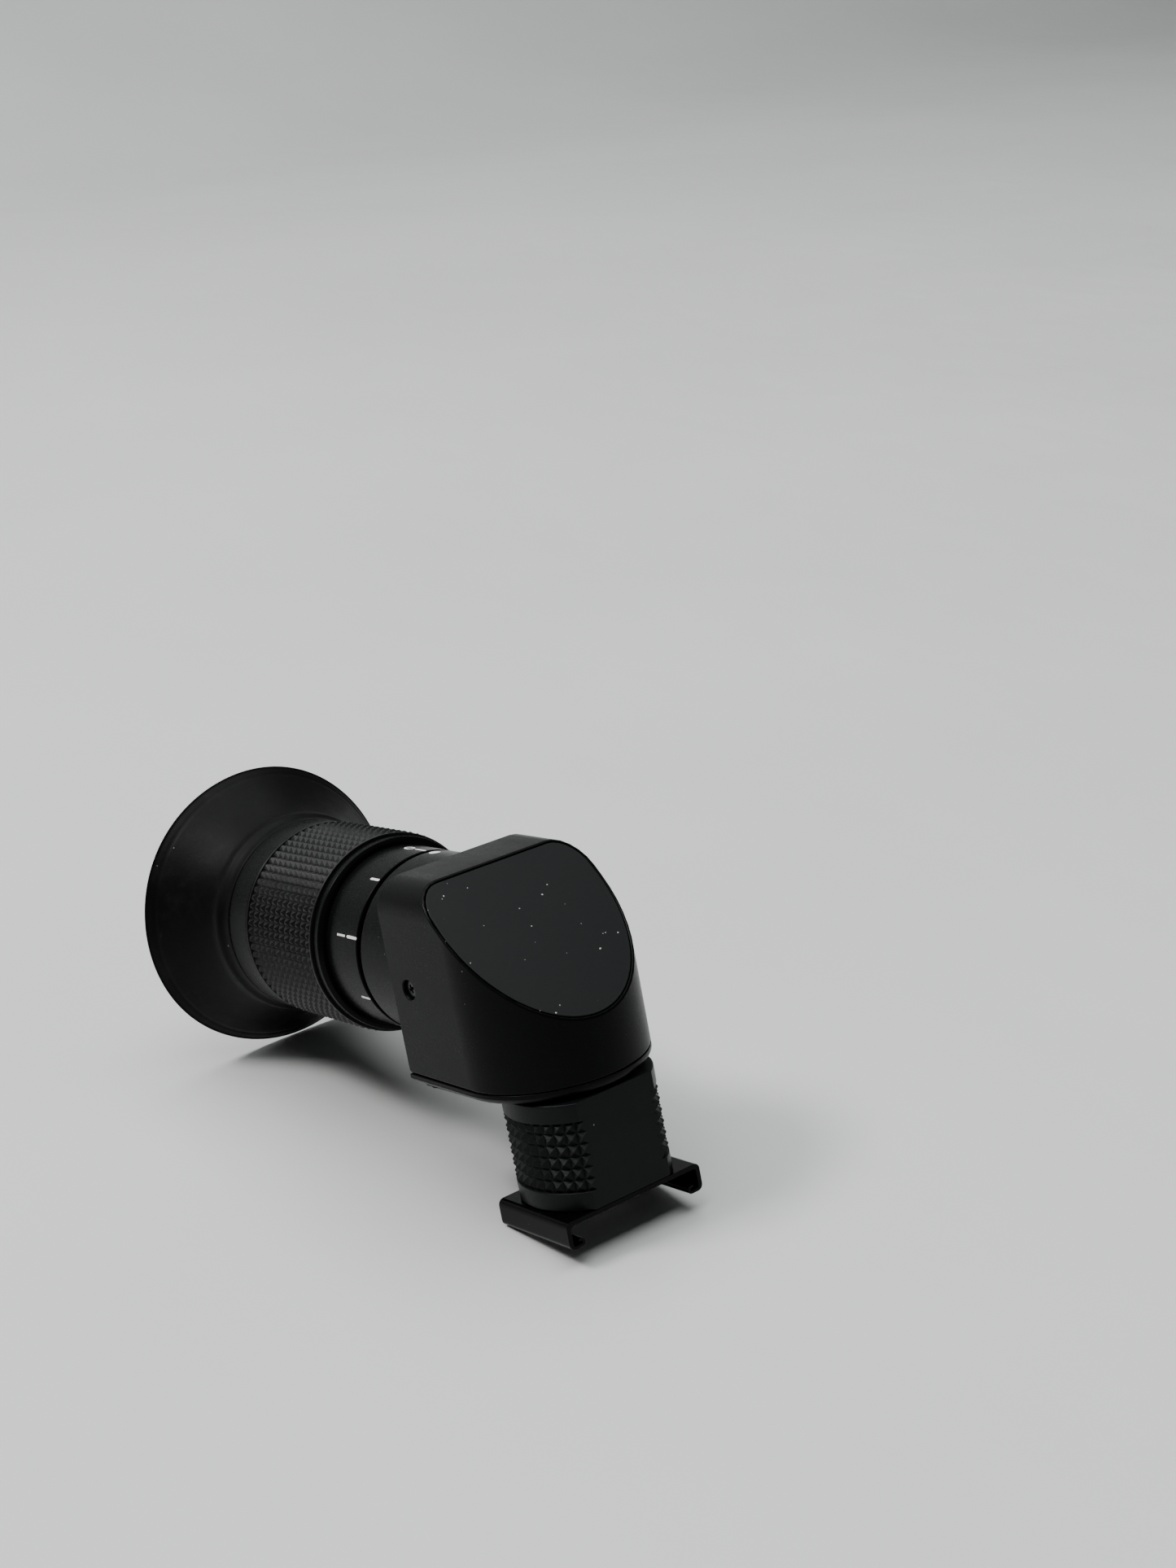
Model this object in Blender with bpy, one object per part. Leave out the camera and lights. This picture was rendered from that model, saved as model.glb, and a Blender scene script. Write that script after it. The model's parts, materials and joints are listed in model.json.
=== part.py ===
"""Right-angle viewfinder for a camera eyepiece, built as separate solids in metres.

Every piece is drawn in one working frame. Its origin is the point where the two optical
axes cross: +Y runs out along the eyepiece axis to the eyecup, +Z runs up the swivel axis
from the shoe into the prism housing, and X runs across. One empty then tips that frame
until the rim of the eyecup and the shoe both stand on the floor, as the finder rests.
"""

import math

import bmesh
import bpy
from mathutils import Matrix, Vector

# Clearances and the fineness of round pieces
SEAT_GAP = 0.0001  # between two pieces that are fastened together
RUN_GAP = 0.00008  # radial room between pieces that turn or slide on each other
BARREL_GAP = 0.0011  # along the axis, between the fixed barrel and the scale ring
OVERSHOOT = 0.001  # how far a cutter reaches past the face that it opens
SKIM = 0.0002  # the same, where a longer reach would touch a neighbour
FAR = 0.04  # past everything across the housing
ROUND_STEPS = 40
FINE_STEPS = 28
SMALL_STEPS = 12

# Focusing ring and eyepiece, outwards from the turned track that the ring runs on
TRACK_RADIUS = 0.0112
TRACK_LENGTH = 0.0348
TRACK_WALL = 0.0013
SCALE_CORE_WALL = 0.00092
SCALE_WALL = 0.00105
SCALE_WIDTH = 0.0085
GRIP_CORE_WALL = 0.00192
GRIP_WALL = 0.0018
GRIP_WIDTH = 0.0194
RIDGE_WIDTH = 0.0017
RIDGE_STEP = 0.0006  # how far the ridge's front edge stands over the scale ring
RIDGE_RISE = 0.0012  # the same for its band, behind the chamfered front edge
RIDGE_CHAMFER = 0.0003  # along the axis
END_RING_DROP = 0.0002  # how far the end ring lies inside the grip's surface
END_RING_WIDTH = 0.0054
STOP_RING_WALL = 0.0005
STOP_RING_WIDTH = 0.0014
STOP_THREAD = 0.0006  # how far the track's end is turned down for the stop ring
SPIGOT_LENGTH = 0.0033
SPIGOT_WALL = 0.0010
EYECUP_GAP = 0.0003
EYECUP_LENGTH = 0.0139
EYECUP_ROOT_DROP = 0.0003
EYECUP_FLARE = 0.0075
EYECUP_WALL = 0.0013
BARREL_LENGTH = 0.0085
BARREL_SPIGOT_STEP = 0.0036  # how much smaller the barrel is where it enters the housing

# Prism housing: a rectangle with a half-round front, cut at 45 degrees over the prism
SIDE_MARGIN = 0.00070  # from the fixed barrel's surface to each side of the housing
TOP_MARGIN = 0.0009
BOTTOM_MARGIN = 0.0022
HOUSING_FRONT = 0.0089  # in front of the swivel axis
HOUSING_BACK = 0.0205  # behind the swivel axis
FACE_OFFSET = 0.0034  # height of the slanted face over the prism's mirror plane
SHOULDER_RADIUS = 0.0045
WALL = 0.0013
BACK_WALL = 0.0016
FACE_RIM = 0.0004
FACE_WALL = 0.0012
COVER_THICK = 0.0008
BASE_THICK = 0.00145
BOSS_WALL = 0.0013

# Swivel neck, grip sleeve and shoe
NECK_RADIUS = 0.0072
NECK_WALL = 0.0016
NECK_THREAD = 0.0004  # how far the neck's end is turned down for the swivel ring
NECK_GAP = 0.0004  # open gap between the housing and the sleeve
LENS_LAND = 0.0010  # flat edge left round each lens for its seat
OBJECTIVE_THICK = 0.0023
OBJECTIVE_RISE = 0.0013  # the objective's seat above the pocket's top
SWIVEL_LEDGE = 0.0009
SWIVEL_POCKET_DEPTH = 0.0040
SPRING_WASHER_THICK = 0.0004
SWIVEL_RING_THICK = 0.0016
SLEEVE_WALL = 0.0005
SLEEVE_ROUND = 0.0022  # how far the sleeve's round sides stand out past its flats
SLEEVE_LENGTH = 0.0154
SHEET = 0.0007
SHOE_WIDTH = 0.0234
SHOE_FRONT = 0.0085
SHOE_BACK = 0.0076
SHOE_DEPTH = 0.0040  # plate top to the underside of the folded rails
RAIL_LIP = 0.0026  # how far each rail reaches inwards
BEND_RADIUS = 0.0009
HEM = 0.00062  # radius of the hem that ends each rail
WINDOW_STEP = 0.0010  # how much smaller the shoe's window is than the neck
SHOE_SCREW_ANGLE = math.radians(35)

# Sliding lens cell
CELL_LENGTH = 0.0220
CELL_WALL = 0.0010
CELL_SEAT = 0.0009
CELL_SEAT_WIDTH = 0.0012
CELL_STEP = 0.0009  # from the cell's bore down to the field lens's bore
CELL_PROUD = 0.0031  # how far the cell stands out of its track at the zero mark
CELL_TRAVEL = 0.00264  # each way from the zero mark
CELL_END_ROOM = 0.0006
FIELD_LENS_THICK = 0.0024
FRONT_LENS_THICK = 0.0028
EYE_LENS_THICK = 0.0040
SPACER_LENGTH = 0.0068
LENS_RING_WIDTH = 0.0018
PIN_RADIUS = 0.0008
PIN_PLACE = 0.0080  # from the front of the cell to the drive pin
GROOVE_DEPTH = 0.0011
FOCUS_HALF_TURN = math.radians(166)  # each way from the zero mark
GROOVE_MARGIN = math.radians(6)

# Prism and its frame
PRISM_HALF_WIDTH = 0.0060
PRISM_ROOM = 0.0004  # between the prism's foot and the screw bosses under it
CHEEK_THICK = 0.0015
CHEEK_FRONT = 0.0016
CHEEK_DROP = 0.0012  # how far the cheeks stay under the prism's mirror plane
FRAME_PLATE = 0.0050
FRAME_BORE_STEP = 0.0010  # how much smaller the frame's bore is than the barrel's spigot
FRAME_STEP = 0.0005  # how far the frame's bore opens past its front face
BARREL_NUT_WIDTH = 0.0016
BARREL_NUT_RING = 0.0016
MASK_THICK = 0.0004
MASK_WIDTH = 0.0108
MASK_HEIGHT = 0.0072

# Fasteners: shank radius, head radius, head height, length under the head
SHOE_SCREW = (0.0007, 0.00125, 0.0006, 0.0026)
BASE_SCREW = (0.0008, 0.0015, 0.0007, 0.0042)
SIDE_SCREW = (0.0008, 0.00125, 0.0008, 0.0028)
SIDE_SCREW_ROOM = 0.0002
SIDE_SCREW_DROP = 0.0009  # below the eyepiece axis
SIDE_SCREW_INSET = 0.0045  # in front of the back wall
BASE_SCREW_INSET = 0.0031
BASE_SCREW_ANGLE = math.radians(-32)

# Radii worked out from the sizes above
CORE_BORE = TRACK_RADIUS + RUN_GAP
CELL_BORE = TRACK_RADIUS - TRACK_WALL
LENS_BORE = CELL_BORE - CELL_STEP
CELL_RADIUS = CELL_BORE - RUN_GAP
CELL_INNER = CELL_RADIUS - CELL_WALL
GROOVE_RADIUS = CORE_BORE + GROOVE_DEPTH
SCALE_SEAT = CORE_BORE + SCALE_CORE_WALL
SCALE_RADIUS = SCALE_SEAT + SEAT_GAP + SCALE_WALL
GRIP_SEAT = CORE_BORE + GRIP_CORE_WALL
GRIP_RADIUS = GRIP_SEAT + SEAT_GAP + GRIP_WALL
RIDGE_RADIUS = SCALE_RADIUS + RIDGE_RISE
END_RING_RADIUS = GRIP_RADIUS - END_RING_DROP
STOP_RING_RADIUS = CORE_BORE + STOP_RING_WALL
CORE_END_BORE = STOP_RING_RADIUS + SEAT_GAP
SPIGOT_RADIUS = CORE_END_BORE + SPIGOT_WALL
EYECUP_ROOT = GRIP_RADIUS - EYECUP_ROOT_DROP
EYECUP_RADIUS = EYECUP_ROOT + EYECUP_FLARE
BARREL_RADIUS = SCALE_RADIUS
BARREL_SPIGOT = BARREL_RADIUS - BARREL_SPIGOT_STEP
FRAME_BORE = BARREL_SPIGOT - FRAME_BORE_STEP
HOUSING_HALF = BARREL_RADIUS + SIDE_MARGIN
HOUSING_TOP = BARREL_RADIUS + TOP_MARGIN
HOUSING_BOTTOM = BARREL_RADIUS + BOTTOM_MARGIN
OBJECTIVE_RADIUS = NECK_RADIUS - NECK_WALL
NECK_BORE = OBJECTIVE_RADIUS - CELL_STEP
SWIVEL_POCKET_RADIUS = NECK_RADIUS + SWIVEL_LEDGE
SLEEVE_FLAT = SWIVEL_POCKET_RADIUS + SLEEVE_WALL
SLEEVE_RADIUS = SLEEVE_FLAT + SLEEVE_ROUND
SHOE_WINDOW = NECK_RADIUS - WINDOW_STEP
SHOE_SCREW_REACH = SWIVEL_POCKET_RADIUS + SHOE_SCREW[0] + SLEEVE_WALL
SIDE_SCREW_HOLE = SIDE_SCREW[1] + SIDE_SCREW_ROOM

# Places worked out from the sizes above
SEAM_Z = -HOUSING_BOTTOM + BASE_THICK
ROUND_Y = HOUSING_HALF - HOUSING_FRONT
FACE_TOP_Y = HOUSING_TOP - FACE_OFFSET
SLEEVE_TOP = -HOUSING_BOTTOM - NECK_GAP
SLEEVE_BOTTOM = SLEEVE_TOP - SLEEVE_LENGTH
POCKET_TOP = SLEEVE_BOTTOM + SWIVEL_POCKET_DEPTH
WASHER_LOW = POCKET_TOP - SEAT_GAP - SPRING_WASHER_THICK
SWIVEL_RING_LOW = WASHER_LOW - SEAT_GAP - SWIVEL_RING_THICK
OBJECTIVE_TOP = POCKET_TOP + OBJECTIVE_RISE
PLATE_TOP = SLEEVE_BOTTOM - SEAT_GAP
BARREL_FRONT = HOUSING_BACK + SEAT_GAP
BARREL_BACK = BARREL_FRONT + BARREL_LENGTH
TRACK_BACK = BARREL_BACK + TRACK_LENGTH
STOP_BACK = TRACK_BACK + SEAT_GAP + STOP_RING_WIDTH
SCALE_FRONT = BARREL_BACK + BARREL_GAP
SCALE_BACK = SCALE_FRONT + SCALE_WIDTH
RIDGE_FRONT = SCALE_BACK + SEAT_GAP
RIDGE_BACK = RIDGE_FRONT + RIDGE_WIDTH
GRIP_FRONT = RIDGE_BACK + SEAT_GAP
GRIP_BACK = GRIP_FRONT + GRIP_WIDTH
END_RING_FRONT = GRIP_BACK + SEAT_GAP
END_RING_BACK = END_RING_FRONT + END_RING_WIDTH
EYECUP_FRONT = END_RING_BACK + EYECUP_GAP
RIM_Y = EYECUP_FRONT + EYECUP_LENGTH
CORE_BACK = EYECUP_FRONT + SPIGOT_LENGTH
CELL_FRONT = TRACK_BACK + CELL_PROUD - CELL_LENGTH
PIN_Y = CELL_FRONT + PIN_PLACE
FIELD_LENS_FRONT = HOUSING_BACK
BOSS_TOP = SEAM_Z + BASE_SCREW[3] + WALL
PRISM_LEG = -BOSS_TOP - PRISM_ROOM
NUT_FRONT = HOUSING_BACK - BACK_WALL - SEAT_GAP - BARREL_NUT_WIDTH
FRAME_BACK = NUT_FRONT - SEAT_GAP
FRAME_FRONT = FRAME_BACK - FRAME_PLATE

COLOURS = {
    "satin_black": ((0.012, 0.012, 0.013, 1), 0.42, 0.0),
    "black_metal": ((0.010, 0.010, 0.011, 1), 0.30, 0.6),
    "rubber": ((0.020, 0.020, 0.020, 1), 0.75, 0.0),
    "cover_black": ((0.014, 0.014, 0.018, 1), 0.50, 0.0),
    "steel": ((0.45, 0.45, 0.46, 1), 0.30, 1.0),
    "dark_steel": ((0.08, 0.08, 0.09, 1), 0.35, 1.0),
    "brass": ((0.55, 0.40, 0.16, 1), 0.30, 1.0),
    "glass": ((0.85, 0.90, 0.92, 1), 0.02, 0.0),
}


def clear_scene():
    for thing in list(bpy.data.objects):
        bpy.data.objects.remove(thing, do_unlink=True)


def material(name):
    found = bpy.data.materials.get(name)
    if found:
        return found
    colour, roughness, metallic = COLOURS[name]
    made = bpy.data.materials.new(name)
    made.use_nodes = True
    shader = made.node_tree.nodes["Principled BSDF"]
    shader.inputs["Base Color"].default_value = colour
    shader.inputs["Roughness"].default_value = roughness
    shader.inputs["Metallic"].default_value = metallic
    made.diffuse_color = colour
    return made


def pivot(name, parent=None):
    """An empty where the two axes cross, which every joint axis of its body runs through."""
    empty = bpy.data.objects.new(name, None)
    bpy.context.collection.objects.link(empty)
    empty.parent = parent
    return empty


def put(name, bm, finish, parent):
    """Closes the bmesh into a named, shaded object under its body's pivot."""
    bmesh.ops.remove_doubles(bm, verts=bm.verts, dist=0.000001)
    bmesh.ops.recalc_face_normals(bm, faces=bm.faces)
    mesh = bpy.data.meshes.new(name)
    bm.to_mesh(mesh)
    bm.free()
    mesh.materials.append(material(finish))
    mesh.shade_smooth()
    mesh.set_sharp_from_angle(angle=math.radians(35))
    made = bpy.data.objects.new(name, mesh)
    bpy.context.collection.objects.link(made)
    made.parent = parent
    return made


def cutter(name, bm, parent):
    """A helper solid that only cuts other pieces."""
    made = put(name, bm, "steel", parent)
    made.hide_render = True
    made.display_type = "WIRE"
    return made


def combine(piece, tools, operation="DIFFERENCE"):
    for tool in tools:
        step = piece.modifiers.new(tool.name, "BOOLEAN")
        step.operation = operation
        step.solver = "EXACT"
        step.object = tool


def turned(profile, along, steps=ROUND_STEPS):
    """Spins a closed outline of (radius, place) corners about the Y or the Z axis."""
    bm = bmesh.new()
    if along == "Y":
        corners = [bm.verts.new((radius, place, 0)) for radius, place in profile]
    else:
        corners = [bm.verts.new((radius, 0, place)) for radius, place in profile]
    edges = []
    for index, corner in enumerate(corners):
        following = corners[(index + 1) % len(corners)]
        on_axis = corner.co.x < 1e-7 and following.co.x < 1e-7
        if not on_axis:
            edges.append(bm.edges.new((corner, following)))
    axis = (0, 1, 0) if along == "Y" else (0, 0, 1)
    bmesh.ops.spin(bm, geom=corners + edges, cent=(0, 0, 0), axis=axis, angle=2 * math.pi,
                   steps=steps, use_merge=True)
    return bm


def tube(inner, outer, low, high):
    """The outline of a plain ring."""
    return [(inner, low), (outer, low), (outer, high), (inner, high)]


def prism_of(outline, low, high, plane="XY"):
    """Extrudes a flat outline: an XY outline along Z, or an XZ outline along Y."""
    bm = bmesh.new()
    if plane == "XY":
        corners = [bm.verts.new((a, b, low)) for a, b in outline]
        shift = Vector((0, 0, high - low))
    else:
        corners = [bm.verts.new((a, low, b)) for a, b in outline]
        shift = Vector((0, high - low, 0))
    face = bm.faces.new(corners)
    grown = bmesh.ops.extrude_face_region(bm, geom=[face])
    moved = [v for v in grown["geom"] if isinstance(v, bmesh.types.BMVert)]
    bmesh.ops.translate(bm, verts=moved, vec=shift)
    return bm


def box_of(low, high):
    outline = [(low[0], low[1]), (high[0], low[1]), (high[0], high[1]), (low[0], high[1])]
    return prism_of(outline, low[2], high[2])


def arc(centre, radius, start, end, steps):
    """Points on a circle from one angle to another, in degrees."""
    points = []
    for index in range(steps + 1):
        angle = math.radians(start + (end - start) * index / steps)
        points.append((centre[0] + radius * math.cos(angle), centre[1] + radius * math.sin(angle)))
    return points


def plan_outline(inset, back):
    """The housing seen from above: square at the back, half-round at the front."""
    half = HOUSING_HALF - inset
    front = arc((0, ROUND_Y), half, 180, 360, FINE_STEPS)
    return front + [(half, back), (-half, back)]


def shoulder_outline(inset):
    """The housing seen from behind: upright sides and large rounded shoulders."""
    half = HOUSING_HALF - inset
    top = HOUSING_TOP - inset
    radius = SHOULDER_RADIUS - inset
    right = arc((half - radius, top - radius), radius, 0, 90, 6)
    left = arc((-half + radius, top - radius), radius, 90, 180, 6)
    return [(-half, -FAR), (half, -FAR)] + right + left


def below_slant(offset):
    """A block that fills everything under the plane z = y + offset near the housing."""
    bm = bmesh.new()
    outline = [(-FAR, -FAR + offset), (FAR, FAR + offset), (FAR, -3 * FAR), (-FAR, -3 * FAR)]
    corners = [bm.verts.new((-FAR, y, z)) for y, z in outline]
    face = bm.faces.new(corners)
    grown = bmesh.ops.extrude_face_region(bm, geom=[face])
    moved = [v for v in grown["geom"] if isinstance(v, bmesh.types.BMVert)]
    bmesh.ops.translate(bm, verts=moved, vec=(2 * FAR, 0, 0))
    return bm


def slanted(bm, depth_first, depth_last):
    """Lays a plate drawn in X and Y on the slanted face, between two depths under it."""
    inward = Vector((0, 1, -1)).normalized()
    for vert in bm.verts:
        x, run, share = vert.co
        depth = depth_first + (depth_last - depth_first) * share
        y = run / math.sqrt(2) - HOUSING_FRONT
        vert.co = Vector((x, y, y + FACE_OFFSET)) + inward * depth
    return bm


def face_outline(inset):
    """The D shape of the slanted face, as (across, distance up the slope) from its front edge."""
    edge = arc((0, ROUND_Y), HOUSING_HALF, -90, 0, 22)
    corner = (HOUSING_HALF - SHOULDER_RADIUS, FACE_TOP_Y - SHOULDER_RADIUS)
    edge += arc(corner, SHOULDER_RADIUS, 0, 90, 7)[1:]
    right = [Vector((x, (y + HOUSING_FRONT) * math.sqrt(2))) for x, y in edge]
    loop = right + [Vector((-p.x, p.y)) for p in reversed(right[1:])]
    moved = []
    for index, point in enumerate(loop):
        before = loop[index - 1]
        after = loop[(index + 1) % len(loop)]
        direction = (after - before).normalized()
        moved.append(point - Vector((direction.y, -direction.x)) * inset)
    return [(p.x, p.y) for p in moved]


def across(bm, side):
    """Lays a piece drawn along Z so that its +Z end points to the given side of the housing."""
    bmesh.ops.rotate(bm, verts=bm.verts, matrix=Matrix.Rotation(side * math.pi / 2, 3, "Y"))
    return bm


def moved_to(bm, place):
    bmesh.ops.translate(bm, verts=bm.verts, vec=place)
    return bm


def rod(radius, low, high, along="Z", steps=SMALL_STEPS):
    return turned([(0, low), (radius, low), (radius, high), (0, high)], along, steps)


def drilled(places, radius, low, high, name, parent):
    """One cutter for each upright hole."""
    tools = []
    for number, (x, y) in enumerate(places, 1):
        tools.append(cutter(f"{name}_{number}", moved_to(rod(radius, low, high), (x, y, 0)), parent))
    return tools


def sunk_hole(size, low, high):
    """A countersunk hole from a lower face up to a higher one, with room round the screw."""
    shank, head, height, _ = size
    profile = [(0, low - SKIM), (head + SEAT_GAP, low - SKIM), (head + SEAT_GAP, low + SEAT_GAP),
               (shank + SEAT_GAP, low + height + SEAT_GAP), (shank + SEAT_GAP, high + OVERSHOOT),
               (0, high + OVERSHOOT)]
    return turned(profile, "Z", SMALL_STEPS)


def lens_outline(rim, front, back, bulge_front, bulge_back):
    """A lens with a flat land round each face for its seat; front and back are the lands' places."""
    land = rim - LENS_LAND
    shares = (0, 0.4, 0.75, 1)
    ahead = [(land * share, front - bulge_front * (1 - share ** 2)) for share in shares]
    behind = [(land * share, back + bulge_back * (1 - share ** 2)) for share in reversed(shares)]
    return ahead + [(rim, front), (rim, back)] + behind


def screw_shape(size, sunk):
    """A screw along Z: its head's top is at the origin and its point hangs below."""
    shank, head, height, length = size
    outline = [(0, 0), (head, 0)]
    if not sunk:
        outline.append((head, -height))
    outline += [(shank, -height), (shank, -height - length), (0, -height - length)]
    return turned(outline, "Z", SMALL_STEPS)


def sunk_screw(name, size, x, y, low, parent):
    """A countersunk screw that enters from below."""
    bm = screw_shape(size, True)
    bmesh.ops.rotate(bm, verts=bm.verts, matrix=Matrix.Rotation(math.pi, 3, "X"))
    put(name, moved_to(bm, (x, y, low + SEAT_GAP)), "dark_steel", parent)


def base_screw_places():
    """Two screws near the back corners and two beside the swivel neck."""
    reach = HOUSING_HALF - BASE_SCREW_INSET
    rear = HOUSING_BACK - BASE_SCREW_INSET
    side = reach * math.cos(BASE_SCREW_ANGLE)
    front = ROUND_Y + reach * math.sin(BASE_SCREW_ANGLE)
    return [(reach, rear), (-reach, rear), (side, front), (-side, front)]


def make_housing(parent):
    """The hollow casting, with a shallow seat for the cover plate and four screw bosses."""
    block = prism_of(plan_outline(0, HOUSING_BACK), SEAM_Z + SEAT_GAP, HOUSING_TOP)
    housing = put("prism_housing", block, "satin_black", parent)
    shoulders = cutter("shoulder_shape", prism_of(shoulder_outline(0), -FAR, FAR, "XZ"), parent)
    slant = cutter("slant_shape", below_slant(FACE_OFFSET), parent)
    combine(housing, [shoulders, slant], "INTERSECT")
    depth = SEAT_GAP + COVER_THICK
    seat = slanted(prism_of(face_outline(FACE_RIM), 0, 1), -OVERSHOOT, depth)
    recess = cutter("cover_recess", seat, parent)
    inside = plan_outline(WALL, HOUSING_BACK - BACK_WALL)
    block = prism_of(inside, SEAM_Z - OVERSHOOT, HOUSING_TOP + OVERSHOOT)
    hollow = cutter("housing_hollow", block, parent)
    roof = cutter("hollow_roof", prism_of(shoulder_outline(WALL), -FAR, FAR, "XZ"), parent)
    ceiling = FACE_OFFSET - (depth + FACE_WALL) * math.sqrt(2)
    inner_slant = cutter("hollow_slant", below_slant(ceiling), parent)
    combine(hollow, [roof, inner_slant], "INTERSECT")
    places = base_screw_places()
    shank = BASE_SCREW[0]
    bosses = []
    for number, (x, y) in enumerate(places, 1):
        boss = rod(shank + BOSS_WALL, SEAM_Z + SEAT_GAP, BOSS_TOP, steps=16)
        bosses.append(cutter(f"boss_{number}", moved_to(boss, (x, y, 0)), parent))
    combine(hollow, bosses)
    holes = drilled(places, shank + SEAT_GAP, SEAM_Z - OVERSHOOT, BOSS_TOP - WALL / 2,
                    "boss_hole", parent)
    opening = rod(BARREL_SPIGOT + SEAT_GAP, NUT_FRONT, FAR, "Y", ROUND_STEPS)
    side = across(rod(SIDE_SCREW_HOLE, -FAR, FAR, steps=20), 1)
    moved_to(side, (0, HOUSING_BACK - SIDE_SCREW_INSET, -SIDE_SCREW_DROP))
    tools = [hollow, recess, cutter("barrel_hole", opening, parent)]
    combine(housing, tools + [cutter("side_screw_hole", side, parent)] + holes)


def make_cover(parent):
    bm = prism_of(face_outline(FACE_RIM + SEAT_GAP), 0, 1)
    put("cover_plate", slanted(bm, 0, COVER_THICK), "cover_black", parent)


def make_base(parent):
    """The base plate and, in one piece with it, the neck that turns in the grip sleeve."""
    bm = prism_of(plan_outline(0, HOUSING_BACK), -HOUSING_BOTTOM, SEAM_Z)
    lower = [e for e in bm.edges if all(v.co.z < SEAM_Z - BASE_THICK / 2 for v in e.verts)]
    bmesh.ops.bevel(bm, geom=lower, offset=BASE_THICK * 0.6, segments=2, affect="EDGES",
                    profile=0.5)
    plate = put("base_plate", bm, "satin_black", parent)
    low = SWIVEL_RING_LOW - SEAT_GAP
    step = WASHER_LOW
    thin = NECK_RADIUS - NECK_THREAD
    root = SEAM_Z - BASE_THICK / 3
    outline = [(0, low), (thin, low), (thin, step), (NECK_RADIUS, step), (NECK_RADIUS, root),
               (0, root)]
    combine(plate, [cutter("neck_shape", turned(outline, "Z"), parent)], "UNION")
    seat = OBJECTIVE_RADIUS + SEAT_GAP
    outline = [(0, low - OVERSHOOT), (seat, low - OVERSHOOT), (seat, OBJECTIVE_TOP),
               (NECK_BORE, OBJECTIVE_TOP), (NECK_BORE, SEAM_Z + OVERSHOOT), (0, SEAM_Z + OVERSHOOT)]
    tools = [cutter("neck_bore", turned(outline, "Z"), parent)]
    for number, (x, y) in enumerate(base_screw_places(), 1):
        hole = sunk_hole(BASE_SCREW, -HOUSING_BOTTOM, SEAM_Z)
        tools.append(cutter(f"base_hole_{number}", moved_to(hole, (x, y, 0)), parent))
        sunk_screw(f"base_screw_{number}", BASE_SCREW, x, y, -HOUSING_BOTTOM, parent)
    combine(plate, tools)


def make_objective(parent):
    high = OBJECTIVE_TOP - SEAT_GAP
    low = high - OBJECTIVE_THICK
    rim = OBJECTIVE_RADIUS
    lens = lens_outline(rim, low, high, 0.0004, 0)
    put("objective_lens", turned(lens, "Z", FINE_STEPS), "glass", parent)
    ring = tube(rim - LENS_LAND, rim, SWIVEL_RING_LOW, low - SEAT_GAP)
    put("objective_retainer", turned(ring, "Z", FINE_STEPS), "black_metal", parent)


def make_swivel_ring(parent):
    """The spring washer and the threaded ring that hold the neck in the sleeve's pocket."""
    outer = SWIVEL_POCKET_RADIUS - RUN_GAP
    washer = tube(NECK_RADIUS + SEAT_GAP, outer, WASHER_LOW, POCKET_TOP - SEAT_GAP)
    put("spring_washer", turned(washer, "Z"), "steel", parent)
    bore = NECK_RADIUS - NECK_THREAD + SEAT_GAP
    ring = tube(bore, outer, SWIVEL_RING_LOW, WASHER_LOW - SEAT_GAP)
    put("swivel_ring", turned(ring, "Z"), "brass", parent)


def shoe_screw_places():
    x = SHOE_SCREW_REACH * math.cos(SHOE_SCREW_ANGLE)
    y = SHOE_SCREW_REACH * math.sin(SHOE_SCREW_ANGLE)
    return [(x, y), (-x, y), (-x, -y), (x, -y)]


def make_sleeve(parent):
    """The grip that the neck turns in: round at the sides, flat at the front and the back."""
    bore = NECK_RADIUS + RUN_GAP
    outline = [(bore, SLEEVE_TOP), (bore, POCKET_TOP), (SWIVEL_POCKET_RADIUS, POCKET_TOP),
               (SWIVEL_POCKET_RADIUS, SLEEVE_BOTTOM), (SLEEVE_RADIUS, SLEEVE_BOTTOM),
               (SLEEVE_RADIUS, SLEEVE_TOP)]
    sleeve = put("grip_sleeve", turned(outline, "Z"), "satin_black", parent)
    low = SLEEVE_BOTTOM - OVERSHOOT
    high = SLEEVE_TOP + OVERSHOOT
    front = box_of((-FAR, -FAR, low), (FAR, -SLEEVE_FLAT, high))
    back = box_of((-FAR, SLEEVE_FLAT, low), (FAR, FAR, high))
    flats = [cutter("sleeve_flat_front", front, parent), cutter("sleeve_flat_back", back, parent)]
    shank, _, _, length = SHOE_SCREW
    holes = drilled(shoe_screw_places(), shank + SEAT_GAP, low, SLEEVE_BOTTOM + length,
                    "sleeve_hole", parent)
    combine(sleeve, flats + holes)


def rail_outline():
    """Half of the bent sheet, from the middle of the plate round to the hemmed lip."""
    half = SHOE_WIDTH / 2
    top = PLATE_TOP
    low = top - SHOE_DEPTH
    outer = BEND_RADIUS
    inner = BEND_RADIUS - SHEET * 0.6
    side = arc((half - outer, top - outer), outer, 90, 0, 4)
    foot = arc((half - outer, low + outer), outer, 0, -90, 4)
    tip = arc((half - RAIL_LIP + HEM, low + HEM), HEM, 270, 90, 6)
    step = half - SHEET
    inside = [(step - inner, low + 2 * HEM), (step, low + 2 * HEM + inner)]
    back = arc((step - inner, top - SHEET - inner), inner, 0, 90, 3)
    return side + foot + tip + inside + back


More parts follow.
